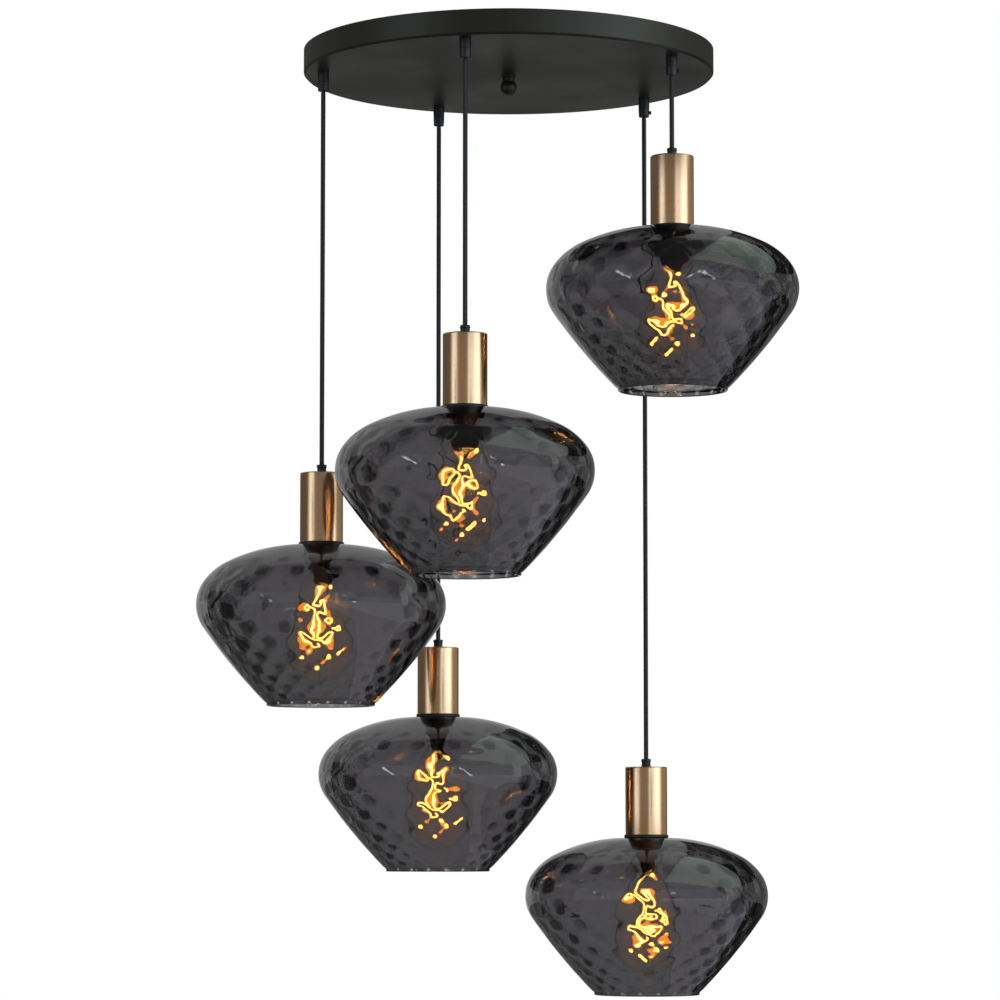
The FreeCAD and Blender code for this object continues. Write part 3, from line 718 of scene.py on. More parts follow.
@dataclass
class CeilingPan:
    """The pan with its grips, ball nut and what lies inside it. Sizes in millimetres."""

    finishes: Finishes
    lamps: list[Lamp]
    height: float = 24
    grip_radius: float = 5.5
    grip_length: float = 18
    nipple_radius: float = 4
    nipple_top: float = -17.5
    bore: float = 2.5
    groove_rise: float = 8.4
    groove_depth: float = 0.35
    stud_end: float = -42
    stud_bore: float = 3.06
    collar_radius: float = 5.9
    collar_height: float = 4.5
    ball_radius: float = 8
    ball_start: float = 42
    ball_steps: int = 24
    washer_height: float = 1
    screw_shank: float = 1.2
    screw_head: float = 1.9
    screw_height: float = 1.8
    screw_rise: float = 4.5
    slot_half: float = 0.45
    slot_depth: float = 0.8

    def build(self) -> None:
        """Builds and dresses the pieces at the ceiling."""
        self.dress_nodes()
        self.add_grips()
        self.add_screws()
        self.add_ball_nut()
        log.info("ceiling pan ready")

    def dress_nodes(self) -> None:
        """Dresses the nodes that stay."""
        self.finishes.black_paint.dress_node("ceiling_plate")
        self.finishes.black_paint.dress_node("knob_washer")
        for node in ("mounting_bracket", "centre_stud", "lock_nuts"):
            self.finishes.steel.dress_node(node)
        self.finishes.cream.dress_node("terminal_block")

    def add_grips(self) -> None:
        """The five cord grips, with a groove above the mouth."""
        under, mouth = -self.height, -self.height - self.grip_length
        wide, deep = self.grip_radius, self.grip_radius - self.groove_depth
        groove = mouth + self.groove_rise
        outline = rounded(
            [
                (self.bore, mouth, 0.3),
                (wide - 0.4, mouth, 0.9),
                (wide, groove - 0.4, 0.5),
                (wide, groove, 0),
                (deep, groove + 0.2, 0),
                (deep, groove + 0.8, 0),
                (wide, groove + 1, 0),
                (wide, under, 0.2),
                (self.nipple_radius, under, 0),
                (self.nipple_radius, self.nipple_top, 0.3),
                (self.bore, self.nipple_top, 0),
            ]
        )
        places = [Matrix.Translation((*lamp.axis, 0)) for lamp in self.lamps]
        grips = lathe("plate_grips_round", outline, 40, places=places)
        self.finishes.black_plastic.dress(grips)
        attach(grips, "ceiling")
        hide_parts("plate_grips")

    def add_screws(self) -> None:
        """The clamp screws' slotted heads and shanks."""
        start, seat = self.bore + 0.1, self.grip_radius + 0.05
        end = seat + self.screw_height
        outline = rounded(
            [
                (0, start, 0),
                (self.screw_shank, start, 0),
                (self.screw_shank, seat, 0),
                (self.screw_head, seat, 0.15),
                (self.screw_head, end, 0.5),
                (self.slot_half, end, 0.1),
                (self.slot_half, end - self.slot_depth, 0),
                (0, end - self.slot_depth, 0),
            ],
            3,
        )
        height = (-self.height - self.grip_length + self.screw_rise) * MM
        places = []
        for lamp in self.lamps:
            turn = 0 if lamp.number in (1, 5) else math.pi / 2
            aside = Matrix.Rotation(turn, 4, "Z") @ Matrix.Rotation(math.pi / 2, 4, "Y")
            places.append(Matrix.Translation((*lamp.axis, height)) @ aside)
        screws = lathe("grip_screws_round", outline, 20, places=places)
        self.finishes.black_paint.dress(screws)
        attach(screws, "ceiling")
        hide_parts("grip_screws")

    def add_ball_nut(self) -> None:
        """The ball nut with its neck."""
        top = -self.height - self.washer_height
        neck = top - self.collar_height
        start = math.radians(self.ball_start)
        middle = neck - self.ball_radius * math.sin(start)
        outline = rounded(
            [
                (0, self.stud_end, 0),
                (self.stud_bore, self.stud_end, 0),
                (self.stud_bore, top, 0),
                (self.collar_radius, top, 0.4),
                (self.collar_radius, neck + 0.1, 0.2),
            ]
        )
        for step in range(self.ball_steps + 1):
            turn = start - (start + math.pi / 2) * step / self.ball_steps
            r = self.ball_radius * math.cos(turn) if step < self.ball_steps else 0
            z = middle + self.ball_radius * math.sin(turn)
            outline.append((r * MM, z * MM))
        ball = lathe("ball_nut_round", outline, 48, closed=False)
        self.finishes.black_paint.dress(ball)
        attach(ball, "knob")
        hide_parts("ball_nut")


@dataclass
class HangingCord:
    """The straight cord of a lamp, from its grip in the pan to the grip on the cup."""

    finishes: Finishes
    lamp: Lamp
    radius: float = 2.25 * MM
    start: float = -42.5 * MM
    grip_height: float = 8 * MM
    edge: float = 0.8 * MM
    rows: int = 12

    def build(self) -> None:
        """Builds the cord."""
        bottom = self.lamp.cup_top + self.grip_height
        length = self.start - bottom
        line = [bottom + length * row / self.rows for row in range(self.rows + 1)]
        outline = [(0, line[0])] + [(self.radius, z) for z in line[:-1]]
        outline += [(self.radius, self.start - self.edge)]
        outline += [(self.radius - self.edge, self.start), (0, self.start)]
        place = Matrix.Translation((*self.lamp.axis, 0))
        tube = lathe(self.lamp.name("cord_tube"), outline, 20, False, [place])
        self.finishes.sleeve.dress(tube)
        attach(tube, self.lamp.name("line"))
        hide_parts(self.lamp.name("cord"), self.lamp.name("cord_neck"))
        joint = self.lamp.name("height")
        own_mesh(tube)
        log.info("cord %d: %.0f mm", self.lamp.number, length / MM)


@dataclass
class CordTail:
    """The end of a lamp's cord in the pan, from its grip to the terminal block. Sizes in mm."""

    finishes: Finishes
    lamp: Lamp
    pole: int
    face: int
    bend: tuple[float, float]
    length: float
    radius: float = 2.25
    mouth: float = -42
    rise: float = -26
    height: float = -9
    pole_spacing: float = 11
    block: float = 40
    half_block: float = 10
    knee: float = 28

    def build(self) -> None:
        """Builds the cord along its route."""
        x, y = (place / MM for place in self.lamp.axis)
        end_x = self.pole * self.pole_spacing
        end_y = self.block + self.face * self.half_block
        route = [
            Vector((x, y, self.mouth)),
            Vector((x, y, self.rise)),
            Vector((x, y, self.height)),
            Vector((*self.bend, self.height)),
            Vector((end_x, end_y + self.face * self.knee, self.height)),
            Vector((end_x, end_y, self.height)),
        ]
        cord = wire(
            self.lamp.name("cord_tail"), [point * MM for point in route], self.radius * MM
        )
        self.finishes.sleeve.dress(cord)
        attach(cord, "ceiling")
        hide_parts("cord_tails")
        log.info("cord tail %d: %.0f mm", self.lamp.number, self.length)


@dataclass
class BrassHolder:
    """Cup, cup grip, lampholder and shade ring of a lamp. Sizes in millimetres."""

    finishes: Finishes
    lamp: Lamp
    cup_radius: float = 20.7
    cup_height: float = 67
    cup_wall: float = 0.8
    grip_radius: float = 4.9
    grip_height: float = 8
    nipple_radius: float = 4
    nipple_end: float = -9
    cord_radius: float = 2.25
    cord_end: float = 2
    entry_radius: float = 4.3
    entry_end: float = -14
    boss_radius: float = 7.4
    boss_end: float = -9.8
    shoulder_end: float = -15.8
    holder_gap: float = 1.4
    flange_radius: float = 21.9
    flange_height: float = 3
    skirt_radius: float = 16.8
    skirt_end: float = -86
    socket_radius: float = 14
    socket_top: float = -58.5
    thread_turns: int = 7
    thread_pitch: float = 3.5
    contact_radius: float = 3.5
    contact_height: float = 1.5
    ring_top: float = -73
    ring_radius: float = 19.3
    ring_taper: float = 1.8
    ring_height: float = 11

    def build(self) -> None:
        """Builds and settles the four pieces."""
        self.add_cup()
        self.add_grip()
        self.add_lampholder()
        self.add_ring()
        log.info("holder %d ready", self.lamp.number)

    def add_cup(self) -> None:
        """The brushed cup with its rolled upper edge."""
        wide, wall = self.cup_radius, self.cup_wall
        low = -self.cup_height
        outline = rounded(
            [
                (self.entry_radius, 0, 0.1),
                (wide, 0, 1.3),
                (wide, low, 0.25),
                (wide - wall, low, 0.25),
                (wide - wall, -wall, 0.6),
                (self.entry_radius, -wall, 0.1),
            ]
        )
        cup = lathe(self.lamp.name("cup"), outline, 96)
        self.lamp.settle(cup, self.finishes.brass, "pendant", "holder_cup")
        cup.visible_glossy = False

    def add_grip(self) -> None:
        """The cord grip on the cup, with its nipple, and the cord's end in it."""
        wide, high = self.grip_radius, self.grip_height
        bore, end = self.cord_radius, self.nipple_end
        outline = rounded(
            [
                (0, high - 0.6, 0),
                (bore + 0.3, high - 0.6, 0),
                (bore + 0.3, high, 0),
                (wide - 0.3, high, 0.7),
                (wide, 5.4, 0.3),
                (wide - 0.5, 4.9, 0),
                (wide - 0.5, 1.4, 0),
                (wide, 1.0, 0),
                (wide, 0, 0.1),
                (self.nipple_radius, 0, 0),
                (self.nipple_radius, end, 0),
                (bore, end, 0),
                (bore, end - self.cord_end, 0),
                (0, end - self.cord_end, 0),
            ]
        )
        grip = lathe(self.lamp.name("grip"), outline, 40, closed=False)
        self.lamp.settle(grip, self.finishes.black_plastic, "pendant", "cup_grip")

    def add_lampholder(self) -> None:
        """The lampholder with its flange, skirt and threaded socket."""
        inner = self.cup_radius - self.cup_wall - self.holder_gap
        flange = -self.cup_height - self.flange_height
        contact = self.socket_top - self.contact_height
        corners = [
            (self.entry_radius, -self.cup_wall, 0),
            (self.boss_radius, -self.cup_wall, 0.3),
            (self.boss_radius, self.boss_end, 0.5),
            (inner, self.shoulder_end, 1),
            (inner, -self.cup_height, 0),
            (self.flange_radius, -self.cup_height, 0.9),
            (self.flange_radius, flange, 0.9),
            (self.skirt_radius, flange, 0),
            (self.skirt_radius, self.skirt_end, 0.4),
            (self.socket_radius + 0.3, self.skirt_end, 0.3),
        ]
        for turn in range(self.thread_turns):
            z = self.skirt_end + 2 + self.thread_pitch * turn
            corners += [(self.socket_radius + 0.3, z, 0.5)]
            corners += [(self.socket_radius - 0.2, z + self.thread_pitch / 2, 0.5)]
        corners += [
            (self.socket_radius, self.socket_top, 0),
            (self.contact_radius, self.socket_top, 0),
            (self.contact_radius, contact, 0.3),
            (0, contact, 0),
        ]
        outline = [(0, self.entry_end * MM), (self.entry_radius * MM, self.entry_end * MM)]
        outline += rounded(corners, 3)
        holder = lathe(self.lamp.name("holder"), outline, 72, closed=False)
        self.lamp.settle(holder, self.finishes.black_plastic, "pendant", "lampholder")

    def add_ring(self) -> None:
        """The tapered ring that holds the glass."""
        top, low = self.ring_top, self.ring_top - self.ring_height
        bore = self.skirt_radius + 0.25
        outline = rounded(
            [
                (bore, top, 0),
                (self.ring_radius, top, 0.3),
                (self.ring_radius - 0.2, top - 1.8, 0.2),
                (self.ring_radius - 0.7, top - 2.1, 0.2),
                (self.ring_radius - self.ring_taper, low, 0.5),
                (bore, low, 0.1),
            ]
        )
        ring = lathe(self.lamp.name("ring"), outline, 72)
        self.lamp.settle(ring, self.finishes.black_plastic, "pendant", "shade_ring")


@dataclass
class GlassShade:
    """The blown shade, with its optic pattern pressed into the inside. Sizes in millimetres."""

    finishes: Finishes
    lamp: Lamp
    top: float = -70
    hole: float = 17.6
    seat: float = 20.35
    wall: float = 3
    swell: float = 4.5
    swell_start: float = 8
    swell_rise: float = 30
    swell_fall: float = 9.7
    arcs: tuple = ((158, 26.5, 16), (61, 53, 10), (38, 124.8, 26), (546, 134.5, 54))
    lip_height: float = 4.4
    mouth: float = 52
    cells: int = 18
    cell_height: float = 0.172
    depth: float = 0.5
    outer_share: float = 0.1
    steep: float = 1.3
    fade_start: float = 6
    fade_rise: float = 26
    segments: int = 288

    def chain(self, wall: float, swell: float = 0.0) -> Outline:
        """Points on the shade's four tangent arcs.

        Args:
            wall: How far the points lie inside the arcs.
            swell: How much further inside they lie at the widest part.

        Returns:
            The points from the neck down, in millimetres.
        """
        x, z = self.seat, -self.arcs[0][0]
        start, last = 0.0, self.arcs[-1][1]
        points = [(x, -wall)]
        for at, (radius, end, count) in enumerate(self.arcs):
            for step in range(1, count + 1):
                degrees = start + (end - start) * step / count
                turn = math.radians(degrees)
                grown = (degrees - self.swell_start) / self.swell_rise
                left = (last - degrees) / self.swell_fall
                reach = radius - wall - swell * max(min(grown, left, 1.0), 0.0)
                points.append((x + reach * math.sin(turn), z + reach * math.cos(turn)))
            if at + 1 < len(self.arcs):
                change = radius - self.arcs[at + 1][0]
                x += change * math.sin(math.radians(end))
                z += change * math.cos(math.radians(end))
            start = end
        return points

    def build(self) -> None:
        """Builds the shade with its pattern."""
        outer = self.chain(0)
        inner = self.chain(self.wall, self.swell)
        low = outer[-1][1] - self.lip_height
        rim = [(self.mouth + 0.2, outer[-1][1] - 1.6), (self.mouth + 0.1, low + 0.8)]
        rim += [(self.mouth - 0.5, low + 0.1), (self.mouth - 1.5, low)]
        rim += [(self.mouth - 2.5, low + 0.2), (self.mouth - 2.9, low + 0.9)]
        outline = [(self.hole, -0.3), (self.hole + 0.3, 0), *outer, *rim]
        first = len(outline)
        outline += inner[::-1] + [(self.hole + 0.3, -self.wall)]
        outline.append((self.hole, -self.wall + 0.3))
        phases = self.phases(outline)

        def pattern(at: int, angle: float) -> float:
            """The pattern's height.

            Args:
                at: Number of the point on the outline.
                angle: Direction from the axis.

            Returns:
                The height, from -1 to 1.
            """
            cell = math.cos(self.cells * angle) * math.cos(math.pi * phases[at])
            cell = math.tanh(self.steep * cell) / math.tanh(self.steep)
            return cell * min(max((-outline[at][1] - self.fade_start) / self.fade_rise, 0.0), 1.0)

        def shift(at: int, angle: float) -> float:
            """Change of radius by the pattern, small on the outside."""
            share = 1 if at >= first else self.outer_share
            return pattern(at, angle) * share * self.depth * MM

        points = [(r * MM, z * MM) for r, z in outline]
        shade = lathe(self.lamp.name("shade"), points, self.segments, shift=shift, sharp=60)
        # The pattern's heights, which the glass finish reads to paint shade where the pattern is
        # pressed in
        turns = [2 * math.pi * step / self.segments for step in range(self.segments)]
        heights = [0.0] * first * self.segments
        heights += [-pattern(at, turn) for at in range(first, len(outline)) for turn in turns]
        pressed = shade.data.attributes.new("pressed", "FLOAT", "POINT")
        pressed.data.foreach_set("value", heights)
        self.lamp.settle(shade, self.finishes.smoked, "pendant", "glass_shade")
        shade.location.z += self.top * MM
        log.info("shade %d: %d faces", self.lamp.number, len(shade.data.polygons))

    def phases(self, outline: Outline) -> list[float]:
        """Counts the rows of the pattern, which grow with the radius.

        Args:
            outline: The shade's outline, in millimetres.

        Returns:
            The rows passed at each point.
        """
        rows, phases = 0.0, [0.0]
        for (r, z), (s, y) in zip(outline, outline[1:]):
            step = math.hypot(s - r, y - z) / (self.cell_height * (r + s) / 2)
            rows += step if y < z else -step
            phases.append(rows)
        return phases


@dataclass
class FilamentBulb:
    """The bulb of a lamp: glass, cap and glowing wire. Sizes in millimetres."""

    finishes: Finishes
    lamp: Lamp
    top: float = -60.3
    cap_height: float = 26
    cap_radius: float = 12.9
    contact_radius: float = 4.8
    contact_height: float = 1.5
    thread: float = 0.35
    thread_turns: int = 4
    thread_pitch: float = 3.6
    glass_wall: float = 0.9
    glass_height: float = 113.9
    profile: tuple = (
        (12.3, 0), (12.8, -8), (15, -17), (18.4, -28), (22.8, -41), (27.3, -54),
        (30.6, -65), (31.9, -74), (31.4, -84), (27.8, -95), (20.6, -104.5), (11, -111),
    )
    cloud: tuple = (
        (0.01, -112), (15, -118), (25, -135), (28, -155), (26, -174), (17, -188), (0.01, -194),
    )
    wire: float = 0.75
    halo: float = 2.4
    depth: float = 8
    strokes: tuple = (
        (
            (-3.4, 108), (-4.3, 115.3), (-8.9, 124.8), (-7.6, 128.2), (0, 129.5),
            (2.8, 125.7), (-1, 122), (2.8, 119), (7, 125.7), (10.4, 137), (4.7, 140.8),
            (-0.9, 137), (-3.8, 143.7), (-3.2, 152.2), (4.7, 153), (10.8, 152.2),
            (10.8, 160.3), (5.7, 159.7), (3.8, 155.4), (-4.7, 155), (-16, 152.2),
            (-19.8, 153), (-19.5, 159.7), (-13.2, 160.7), (-10, 167.3), (-5.7, 169.2),
            (1.9, 164.5), (-1.9, 162.6),
        ),
        ((-14.2, 130.4), (-5.7, 131.4), (-7, 143.7), (-7.9, 152.2)),
        ((10.4, 146), (14.2, 146)),
    )
    rings: tuple = (
        (-17.4, 131.8, 2.9), (17.6, 146, 2.6), (19.5, 168.8, 1.3), (5.1, 174.5, 2.2),
        (-17.6, 175.8, 1.5), (-3.8, 184.9, 1.6), (5.7, 107.2, 1.6),
    )

    def build(self) -> None:
        """Builds and settles the bulb's pieces."""
        self.add_glass()
        self.add_cap()
        self.add_filament()
        log.info("bulb %d ready", self.lamp.number)

    def add_glass(self) -> None:
        """The bulb's thin glass."""
        start = self.top - self.cap_height
        outer = flowing([*self.profile, (0.01, -self.glass_height)], 5)
        inner = flowing([(r - self.glass_wall, z) for r, z in self.profile], 5)
        inner.append((0.01 * MM, -self.glass_height * MM + self.glass_wall * MM))
        outline = [(r, z + start * MM) for r, z in outer + inner[::-1]]
        bulb = lathe(self.lamp.name("bulb"), outline, 72)
        self.lamp.settle(bulb, self.finishes.clear, "bulb", "bulb_glass")

    def add_cap(self) -> None:
        """The screw cap with its thread, insulator and contact."""
        corners = [(0, self.top, 0), (self.contact_radius, self.top, 0.4)]
        corners += [(self.contact_radius, self.top - self.contact_height, 0.3)]
        corners += [(9.5, self.top - 5, 0.5), (self.cap_radius, self.top - 7, 0.5)]
        for turn in range(self.thread_turns):
            z = self.top - 8.5 - self.thread_pitch * turn
            corners += [(self.cap_radius + self.thread, z, 0.6)]
            corners += [(self.cap_radius - self.thread, z - self.thread_pitch / 2, 0.6)]
        corners += [(self.cap_radius, self.top - self.cap_height + 2, 0.3)]
        corners += [(self.cap_radius, self.top - self.cap_height, 0.3)]
        corners += [(0, self.top - self.cap_height, 0)]
        cap = lathe(self.lamp.name("cap"), rounded(corners, 3), 48, closed=False)
        self.lamp.settle(cap, self.finishes.nickel, "bulb", "bulb_cap")

    def add_filament(self) -> None:
        """The dark sleeve in the neck, the glowing wire, and a painted glow round the wire and
        over the bulb.
        """
        start = self.top - self.cap_height
        sleeve = [(0, start, 0), (10.8, start, 0), (10.2, start - 8, 1), (6.4, start - 18, 2)]
        sleeve += [(2.2, start - 21, 1), (1.2, start - 24, 0), (0, start - 24, 0)]
        piece = lathe(self.lamp.name("sleeve"), rounded(sleeve, 4), 32, closed=False)
        self.lamp.settle(piece, self.finishes.gloss, "bulb", "filament")
        # A painted glow over the lower bulb
        cloud = flowing(self.cloud, 5)
        haze = lathe(self.lamp.name("haze"), cloud, 40, closed=False)
        self.lamp.settle(haze, self.finishes.haze, "bulb")
        strokes = [(self.deepen(stroke), False) for stroke in self.strokes]
        strokes += [(self.ring(*place), True) for place in self.rings]
        for number, (points, closed) in enumerate(strokes, 1):
            core = wire(self.lamp.name(f"glow_{number}"), points, self.wire * MM, closed)
            self.lamp.settle(core, self.finishes.glow, "bulb")
            # A painted glow round each wire, hidden from reflections
            halo = wire(self.lamp.name(f"halo_{number}"), points, self.halo * MM, closed)
            self.lamp.settle(halo, self.finishes.halo, "bulb")
            halo.visible_glossy = False

    def deepen(self, stroke: tuple) -> list[Vector]:
        """Bends a drawn stroke back and forth round the bulb's axis.

        Args:
            stroke: Place aside and drop of each point, in millimetres.

        Returns:
            The wire's control points.
        """
        points = []
        for step, (x, drop) in enumerate(stroke):
            points.append(Vector((x, self.depth * math.sin(1.1 * step), -drop)) * MM)
        return points

    def ring(self, x: float, drop: float, size: float) -> list[Vector]:
        """A small uneven loop of the wire.

        Args:
            x: Place of its middle aside, in millimetres.
            drop: Drop of its middle.
            size: Its radius.

        Returns:
            The loop's control points.
        """
        points = []
        for step in range(6):
            turn = math.radians(60 * step + 7 * size)
            reach = size * (1.0 + 0.3 * (step % 2))
            place = (x + reach * math.cos(turn), 0.4 * x, -drop + 1.2 * reach * math.sin(turn))
            points.append(Vector(place) * MM)
        return points


# Studio


@dataclass
class Studio:
    """Camera, white surroundings, dark reflection cards and lamps. Sizes in metres."""

    camera_place: tuple = (-0.0084, -3.747, -0.7754)
    camera_rise: float = 5.12
    lens: float = 139.95
    floor_height: float = -2.2
    floor_side: float = 9.0
    floor_light: float = 0.08
    world_light: float = 0.5
    reach: float = 10.0
    card_low: float = -2.1
    card_high: float = 2.3
    gap_high: float = 1.2
    strip_reach: float = 4.5
    strip_low: float = -1.1
    strip_high: float = 0.95
    strip_tint: tuple = (1.0, 1.22, 1.6)
    strip_level: float = 0.2
    sparks: tuple = ((24, 32, -0.9, -0.3), (-52, -46, -0.5, 0.1))
    spark_level: float = 30.0
    aim: tuple = (0, 0, -0.45)

    def build(self) -> None:
        """Builds the studio round the pendant."""
        self.add_camera()
        self.add_world()
        self.add_floor()
        self.add_upright_cards()
        self.add_strips()
        self.add_flat_cards()
        self.add_lamps()

    def add_camera(self) -> None:
        """A camera near the height of the lowest lamp, which looks slightly up along +Y."""
        data = bpy.data.cameras.new("camera")
        data.lens = self.lens
        data.sensor_width = 36
        camera = link_piece("camera", data)
        camera.location = self.camera_place
        camera.rotation_euler = (math.radians(90 + self.camera_rise), 0, 0)
        bpy.context.scene.camera = camera

    def add_world(self) -> None:
        """White where it is seen, and a soft level where it lights."""
        world = bpy.data.worlds.new("surroundings")
        world.use_nodes = True
        bpy.context.scene.world = world
        back = world.node_tree.nodes["Background"]
        back.inputs["Color"].default_value = (1, 1, 1, 1)
        level = self.seen_level(world.node_tree, self.world_light, 1.0)
        world.node_tree.links.new(level, back.inputs["Strength"])

    def seen_level(
        self, tree: bpy.types.NodeTree, lit: float, seen: float
    ) -> bpy.types.NodeSocket:
        """A level of light that differs where it is seen.

        Args:
            tree: The node tree that needs it.
            lit: The level that falls on dull surfaces.
            seen: The level in the picture, in reflections and through glass.

        Returns:
            The level's output.
        """
        path = add_node(tree, "LightPath").outputs
        ray = path["Is Camera Ray"]
        for kind in ("Is Glossy Ray", "Is Transmission Ray"):
            ray = calculate(tree, "MAXIMUM", ray, path[kind])
        return add_node(tree, "MapRange", Value=ray, To_Min=lit, To_Max=seen).outputs[0]

    def panel(
        self, name: str, corners: Corners, material: bpy.types.Material
    ) -> bpy.types.Object:
        """A flat stage panel.

        Args:
            name: Name of the panel.
            corners: Its four corners.
            material: Its material.

        Returns:
            The panel.
        """
        mesh = bpy.data.meshes.new(name)
        mesh.from_pydata(corners, [], [(0, 1, 2, 3)])
        mesh.materials.append(material)
        piece = link_piece(name, mesh)
        return piece

    def add_floor(self) -> None:
        """A plain pale floor under the pendant."""
        side, z = self.floor_side, self.floor_height
        corners = [(-side, -side, z), (side, -side, z), (side, side, z), (-side, side, z)]
        color, white = (0.86, 0.86, 0.85, 1), (1, 1, 1, 1)
        material = new_material(
            "pale_floor", Base_Color=color, Roughness=0.8, Emission_Color=white
        )
        tree = material.node_tree
        level = self.seen_level(tree, 0.0, self.floor_light)
        tree.links.new(level, tree.nodes["Principled BSDF"].inputs["Emission Strength"])
        self.panel("floor", corners, material)

    def card_material(self, color: Color, shares: tuple) -> bpy.types.Material:
        """A card of one even colour of light.

        Args:
            color: Its light, where 1 is white.
            shares: A kind of ray, and the shares of light that other rays and it see.

        Returns:
            The material.
        """
        black, light = (0.0, 0.0, 0.0, 1), (*color, 1)
        material = new_material(
            "card", Base_Color=black, Roughness=1.0, Specular_IOR_Level=0.0, Emission_Color=light
        )
        kind, other, own = shares
        tree = material.node_tree
        ray = add_node(tree, "LightPath").outputs[kind]
        share = add_node(tree, "MapRange", Value=ray, To_Min=other, To_Max=own).outputs[0]
        tree.links.new(share, tree.nodes["Principled BSDF"].inputs["Emission Strength"])
        return material

    def add_card(
        self,
        name: str,
        corners: Corners,
        color: Color,
        seen: Seen = Seen.BOTH,
        shares: tuple = ("Is Singular Ray", 1.0, 1.0),
    ) -> None:
        """A card that only reflections and glass see.

        Args:
            name: Name of the card.
            corners: Its four corners.
            color: Its light, where 1 is white.
            seen: How it is seen.
            shares: A kind of ray, and the shares of light that other rays and it see.
        """
        card = self.panel(name, corners, self.card_material(color, shares))
        card.visible_camera = False
        card.visible_diffuse = False
        card.visible_shadow = False
        card.visible_glossy, card.visible_transmission = seen.value

    def add_upright_cards(self) -> None:
        """Upright cards round the pendant, with white gaps behind it and at the front."""
        low, high = self.card_low, self.card_high
        over = self.gap_high
        every, mirrored, through = Seen.BOTH, Seen.MIRRORED, Seen.THROUGH
        ring = [
            (-38, 14, 0.25, 1.0, low, high, every),
            (-74, -38, 0.25, 1.0, low, self.strip_low, every),
            (-74, -38, 0.25, 1.0, self.strip_high, high, every),
            (-74, -126, 0.12, 0.4, low, high, every),
            (-126, -171, 0.12, 3.5, low, high, mirrored),
            (-126, -157, 0.4, 1.0, low, high, through),
            (-157, -166, 0.04, 1.0, low, high, through),
            (-166, -171, 0.5, 1.0, low, high, through),
            (-171, -189, 0.33, 1.4, low, high, mirrored),
            (-171, -189, 0.7, 1.0, over, high, through),
            (171, 137, 0.12, 1.5, low, high, mirrored),
            (171, 166, 0.5, 1.0, low, high, through),
            (166, 137, 0.02, 1.0, low, high, through),
            (137, 89, 0.3, 1.0, low, high, every),
        ]
        for number, (start, end, level, clear, bottom, top, seen) in enumerate(ring, 1):
            corners = self.upright(start, end, self.reach, bottom, top)
            shares = ("Is Singular Ray", 1.0, clear)
            self.add_card(f"card_{number}", corners, (level,) * 3, seen, shares)

    def upright(
        self, start: float, end: float, reach: float, low: float, high: float
    ) -> Corners:
        """Corners of an upright card between two directions from the pendant.

        Args:
            start: Its first direction in degrees, from the camera's side to the right.
            end: Its second direction.
            reach: Its distance from the pendant.
            low: Height of its lower edge.
            high: Height of its upper edge.

        Returns:
            The four corners.
        """
        places = []
        for turn in (math.radians(start), math.radians(end)):
            places.append((reach * math.sin(turn), -reach * math.cos(turn)))
        one, two = places
        return [(*one, low), (*two, low), (*two, high), (*one, high)]

    def add_strips(self) -> None:
        """Bright level strips at the front, which the cups show as their light bands."""
        reach, low, high = self.strip_reach, self.strip_low, self.strip_high
        strips = [(-74, -66, 0.7), (-66, -44, 1.4), (-44, -38, 0.7), (15, 46, 1.2), (46, 80, 1.9)]
        for number, (start, end, level) in enumerate(strips, 1):
            corners = self.upright(start, end, reach, low, high)
            shares = ("Is Singular Ray", 1.0, self.strip_level / level)
            cool = tuple(level * part for part in self.strip_tint)
            self.add_card(f"strip_{number}", corners, cool, shares=shares)
        for number, (start, end, low, high) in enumerate(self.sparks, 1):
            corners = self.upright(start, end, reach - 0.5, low, high)
            shares = ("Transmission Depth", 0.0, 1.0)
            self.add_card(f"spark_{number}", corners, (self.spark_level,) * 3, shares=shares)

    def add_flat_cards(self) -> None:
        """Level cards over and under the pendant, with a window at the upper right."""
        side, low, high = self.reach, self.card_low, self.card_high
        middle, behind = 1.0, 0.7
        cards = {
            "over_behind": (-side, middle, behind, side, high, 0.36, Seen.MIRRORED),
            "past_behind": (-side, middle, behind, side, high, 0.4, Seen.THROUGH),
            "over_front": (-side, middle, -side, behind, high, 0.12, Seen.BOTH),
            "over_corner": (middle, side, 2.2, side, high, 0.02, Seen.BOTH),
            "over_window": (middle, side, -3.0, 2.2, high, (0.75, 0.9, 0.8), Seen.BOTH),
            "over_right": (middle, side, -side, -3.0, high, 0.05, Seen.BOTH),
            "under_left": (-side, 0.6, -side, 1.5, low, 0.1, Seen.BOTH),
            "under_middle": (0.6, 1.5, -side, 1.5, low, (0.3, 0.3, 0.34), Seen.BOTH),
            "under_behind": (-side, middle, 1.5, side, low, 0.12, Seen.BOTH),
            "under_right": (1.5, side, -side, 1.5, low, (0.5, 0.5, 0.6), Seen.BOTH),
            "under_corner": (middle, side, 1.5, side, low, 0.03, Seen.BOTH),
        }
        for name, (left, right, front, back, z, light, seen) in cards.items():
            color = light if isinstance(light, tuple) else (light,) * 3
            corners = [(left, front, z), (right, front, z), (right, back, z), (left, back, z)]
            self.add_card(name, corners, color, seen)

    def add_lamp(self, name: str, place: tuple, size: tuple, power: float) -> None:
        """An area lamp that points at the middle of the pendant.

        Args:
            name: Name of the lamp.
            place: Where it stands.
            size: Its width and height.
            power: Its power in watts.
        """
        data = bpy.data.lights.new(name, "AREA")
        data.shape = "RECTANGLE"
        data.size, data.size_y = size
        data.energy = power
        lamp = link_piece(name, data)
        lamp.location = place
        way = Vector(self.aim) - lamp.location
        lamp.rotation_euler = way.to_track_quat("-Z", "Y").to_euler()
        lamp.visible_camera = False
        lamp.visible_glossy = False
        lamp.visible_transmission = False

    def add_lamps(self) -> None:
        """A broad tall lamp on the right and a narrower one on the left."""
        self.add_lamp("right_soft", (1.95, -2.15, 0.3), (2.1, 4.6), 26)
        self.add_lamp("left_soft", (-2.2, -1.4, 0.2), (0.9, 4.0), 7)


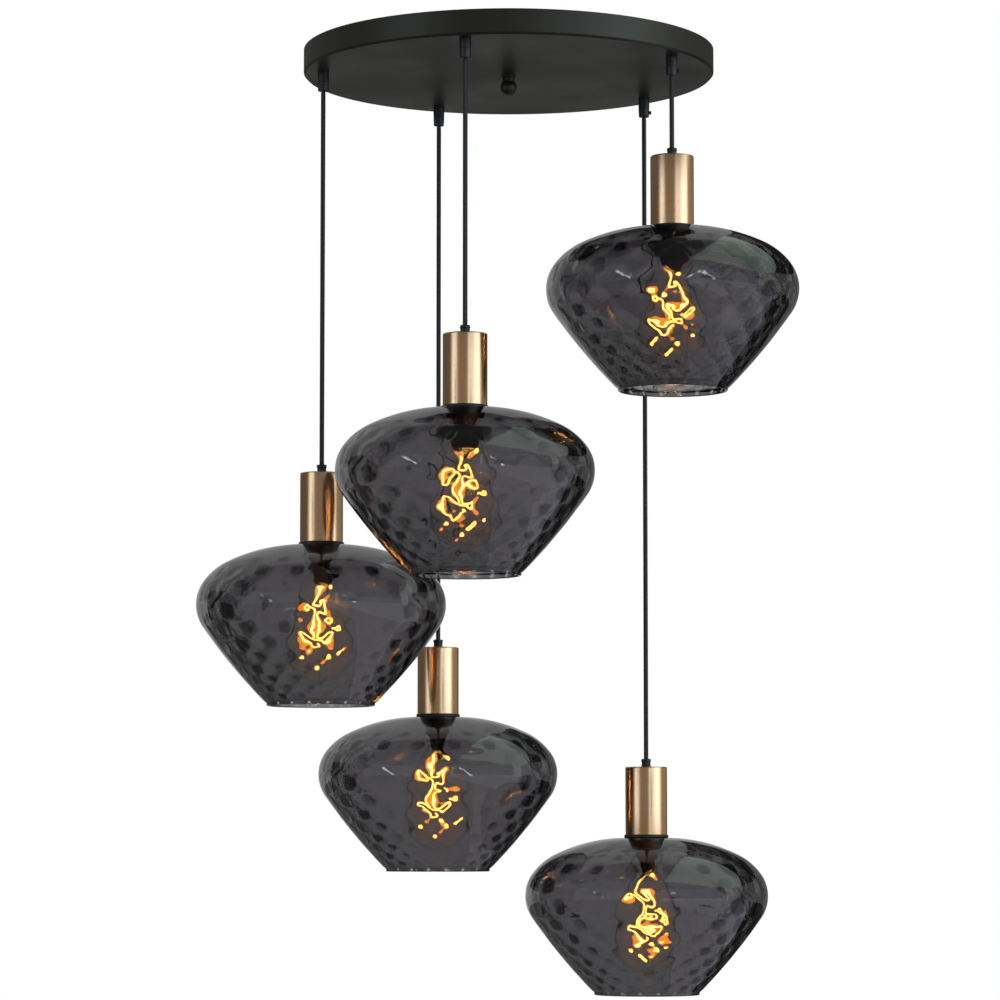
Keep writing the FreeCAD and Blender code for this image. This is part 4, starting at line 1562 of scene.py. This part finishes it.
def main() -> None:
    """Builds the dressed pendant and its studio."""
    logging.basicConfig(level=logging.INFO, format="%(message)s")
    finishes = Finishes()
    lamps = [Lamp(number) for number in range(1, LAMP_COUNT + 1)]
    CeilingPan(finishes, lamps).build()
    for lamp, tail in zip(lamps, TAILS):
        CordTail(finishes, lamp, *tail).build()
        HangingCord(finishes, lamp).build()
        BrassHolder(finishes, lamp).build()
        GlassShade(finishes, lamp).build()
        FilamentBulb(finishes, lamp).build()
    Studio().build()
    bpy.context.scene.view_settings.view_transform = "Standard"


if __name__ == "__main__":
    main()
